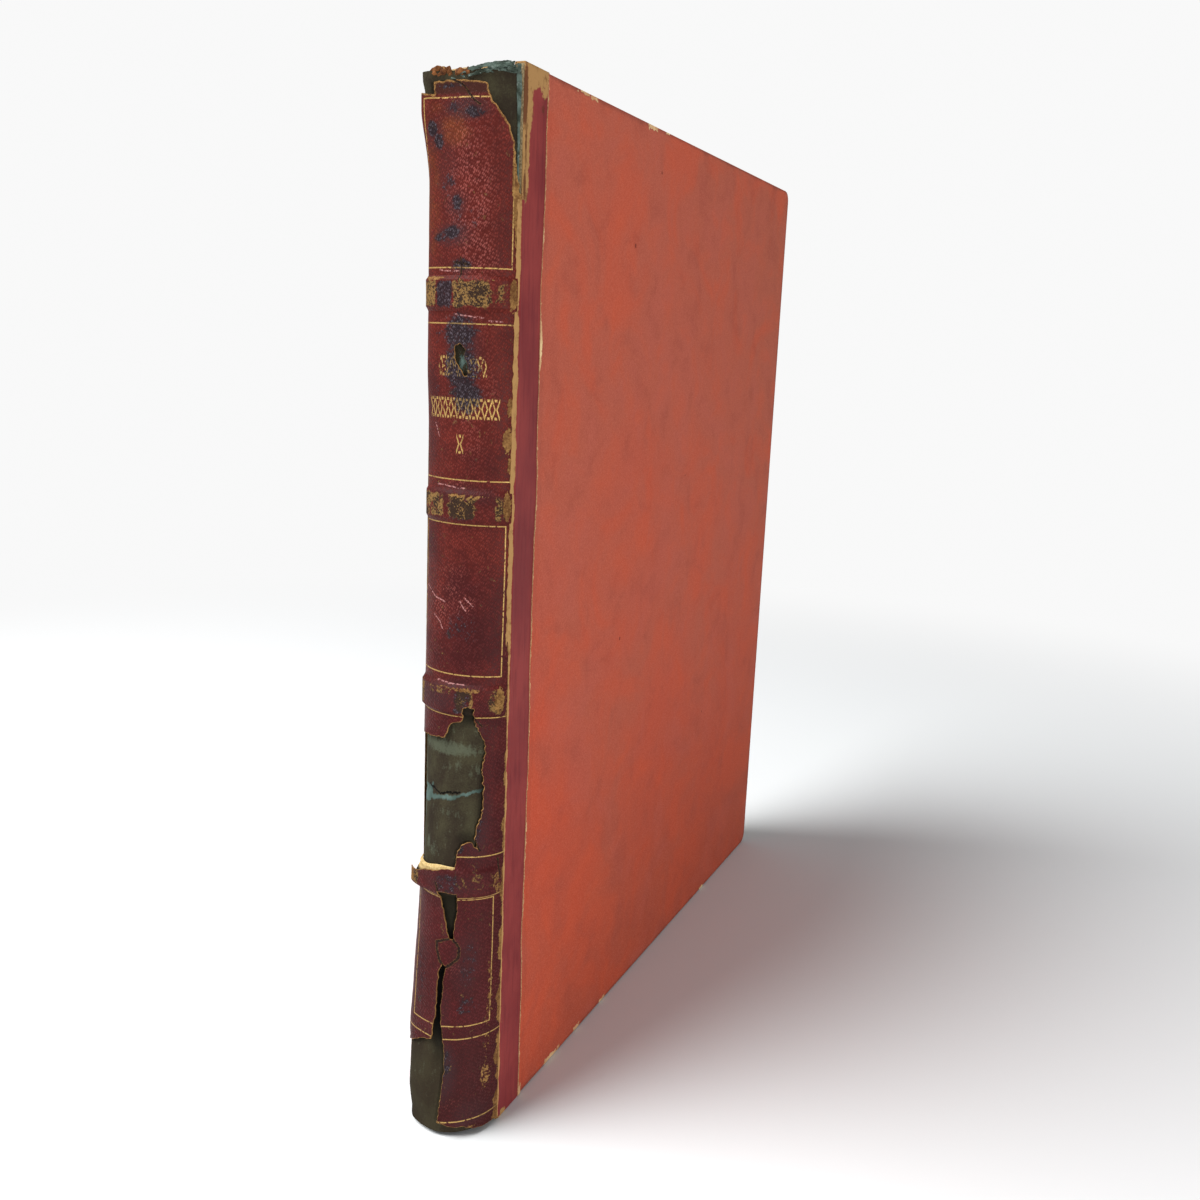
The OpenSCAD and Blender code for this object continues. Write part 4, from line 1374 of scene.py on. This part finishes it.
def scrap(name, run, first_width, last_width, fold, seed):
    """A crumpled ribbon of paper along a run of places on the back."""
    bm = flat_sheet(64, 12)
    share, rise = shares(bm)[0], coordinates(bm)[:, 1] / 2
    stops = np.linspace(0, 1, len(run))
    x, level, depth = (np.interp(share, stops, values) for values in zip(*run))
    torn = np.array([noise.noise(Vector((s * 11, r, seed)))
                     for s, r in zip(share, np.round(rise + 0.1))])
    width = first_width + (last_width - first_width) * share + 0.6 * torn
    z = level + rise * np.maximum(0.25, width)
    turn = np.degrees(np.arccos(np.clip(x / back_half, -1, 1)))
    slanted = back_point(turn, z, depth) @ np.array([[0.8, 0, 0.9], [0, 1, 0], [-0.4, 0, 2.1]])
    folds = fold * (ripple(slanted, 2.6, seed) + 0.5 * ripple(slanted, 1.1, seed + 9))
    place_vertices(bm, back_point(turn, z, depth - folds))
    finish_piece(name, bm, [TUBE], scrap_t)


def head_scraps():
    """Crumpled paper above the torn leather, and the strip of it that stands along the
    front joint."""
    for k, (run, first, last, fold) in enumerate(SCRAPS):
        scrap(f"head_scrap_{k + 1}", run, first, last, fold, 31 + k)
    low, high = 303.5, 339
    bm = flat_sheet(14, 90)
    share, up = shares(bm)
    z = low + up * (high - low)
    uneven = wander(z, 4, 2.2)
    wide = (0.08 + 0.92 * up ** 0.8) * (1 + 0.3 * uneven)
    turn = 14 + 9 * up + 2 * uneven - 15 * share * wide
    points = back_point(turn, z, 0.9)
    fold = 0.55 * ripple(points * np.array([2, 1, 0.4]), 2.2, 51) + 0.25 * ripple(points, 1, 52)
    place_vertices(bm, back_point(turn, z, 0.8 - fold * (0.3 + 0.7 * up)))
    finish_piece("head_scrap_6", bm, [TUBE], joint_scrap_t)


def headcap_remnant():
    """Brown shreds of the leather that was turned in over the head."""
    low = cover_h - 20
    high = cover_h - leather_foot
    bm = back_sheet(52, 44, (low, high), 37.5)
    flat, turn = sheet_places(bm)
    x = back_half * np.cos(np.radians(turn))
    bare = ease((np.abs(x + 8.2) - 3.2) / 1.2) * ease((np.abs(x + 1) - 2.4) / 0.8)
    top = 337.6 - 0.5 * ease((x + 4) / 2) + 0.8 * wander(x, 1.5, 3.3) - 4 * bare
    z = low + clamp01((flat[:, 1] - low) / (high - low)) * (top - low)
    points = back_point(turn, z, headcap_depth)
    folds = 0.9 * ripple(points, 1.9, 61) + 0.7 * ripple(points, 0.8, 62)
    crumple = ease((z - 334) / 2.5) * (0.9 + folds)
    place_vertices(bm, back_point(turn, z, headcap_depth - crumple))
    finish_piece("headcap_shreds", bm, [HEADCAP], headcap_t,
                 "headcap_remnant")


# Floor, light and camera

ROOM_WHITE = (0.945, 0.945, 0.945, 1)
ROOM_LIGHT = (0.29, 0.29, 0.295, 1)
FLOOR_COLOUR = (0.825, 0.842, 0.845, 1)


def camera():
    """The camera at the photograph's place, looking the photograph's way."""
    place = Vector((0.18964, -0.44999, 0.25962))
    right = Vector((0.90849, 0.41588, 0.04125))
    forward = Vector((-0.39979, 0.89359, -0.20414))
    data = bpy.data.cameras.new("camera")
    data.lens = 35.76
    data.sensor_width = 36
    data.clip_start = 0.01
    holder = bpy.data.objects.new("camera", data)
    axes = Matrix((right, right.cross(forward), -forward)).transposed()
    holder.matrix_world = Matrix.Translation(place) @ axes.to_4x4()
    bpy.context.scene.collection.objects.link(holder)
    bpy.context.scene.camera = holder


def area_light(name, place, aim, size, power):
    data = bpy.data.lights.new(name, "AREA")
    data.shape = "DISK"
    data.size = size
    data.energy = power
    light = bpy.data.objects.new(name, data)
    light.location = place
    light.rotation_euler = (Vector(aim) - Vector(place)).to_track_quat("-Z", "Y").to_euler()
    bpy.context.scene.collection.objects.link(light)


def studio():
    """A pale floor that fades into the white room, one large lamp at the left and a low
    one at the right front, which light the book and leave its shadow on the floor."""
    bm = bmesh.new()
    bmesh.ops.create_grid(bm, x_segments=1, y_segments=1, size=6)
    mesh = bpy.data.meshes.new("floor")
    bm.to_mesh(mesh)
    bm.free()
    floor = bpy.data.objects.new("floor", mesh)
    bpy.context.scene.collection.objects.link(floor)
    f = Finish("floor")
    glow = f.node("ShaderNodeEmission", None, {"Color": ROOM_WHITE})
    away = (f.x * f.x + f.y * f.y).root()
    paper = f.node("ShaderNodeBsdfDiffuse", None, {"Color": FLOOR_COLOUR})
    both = f.node("ShaderNodeMixShader", None, {0: away.between(380, 900), 1: paper, 2: glow})
    mesh.materials.append(f.finished(both))
    world = bpy.data.worlds.new("room")
    bpy.context.scene.world = world
    world.use_nodes = True
    nodes, links = world.node_tree.nodes, world.node_tree.links
    seen = nodes["Background"]
    seen.inputs["Color"].default_value = ROOM_WHITE
    lit = nodes.new("ShaderNodeBackground")
    lit.inputs["Color"].default_value = ROOM_LIGHT
    rays = nodes.new("ShaderNodeLightPath")
    choice = nodes.new("ShaderNodeMixShader")
    links.new(rays.outputs["Is Camera Ray"], choice.inputs[0])
    links.new(lit.outputs[0], choice.inputs[1])
    links.new(seen.outputs[0], choice.inputs[2])
    links.new(choice.outputs[0], nodes["World Output"].inputs["Surface"])
    area_light("window", place=(-0.85, -0.85, 1.6), aim=(0, 0, 0.15), size=1.4, power=56)
    area_light("low_lamp", place=(1.35, -1.15, 0.12), aim=(0, 0, 0.2), size=0.22, power=17.4)
    bpy.context.scene.view_settings.view_transform = "Standard"


camera()
studio()
dress_solids()
spine_leather()
spine_lining()
for count in range(len(BAND_ZS)):
    band_strip(count)
for cover_side in COVERS:
    side_paper(cover_side)
    cover_leather(cover_side)
    joint_leather(cover_side)
hollow_tube()
head_scraps()
headcap_remnant()

bpy.context.view_layer.update()
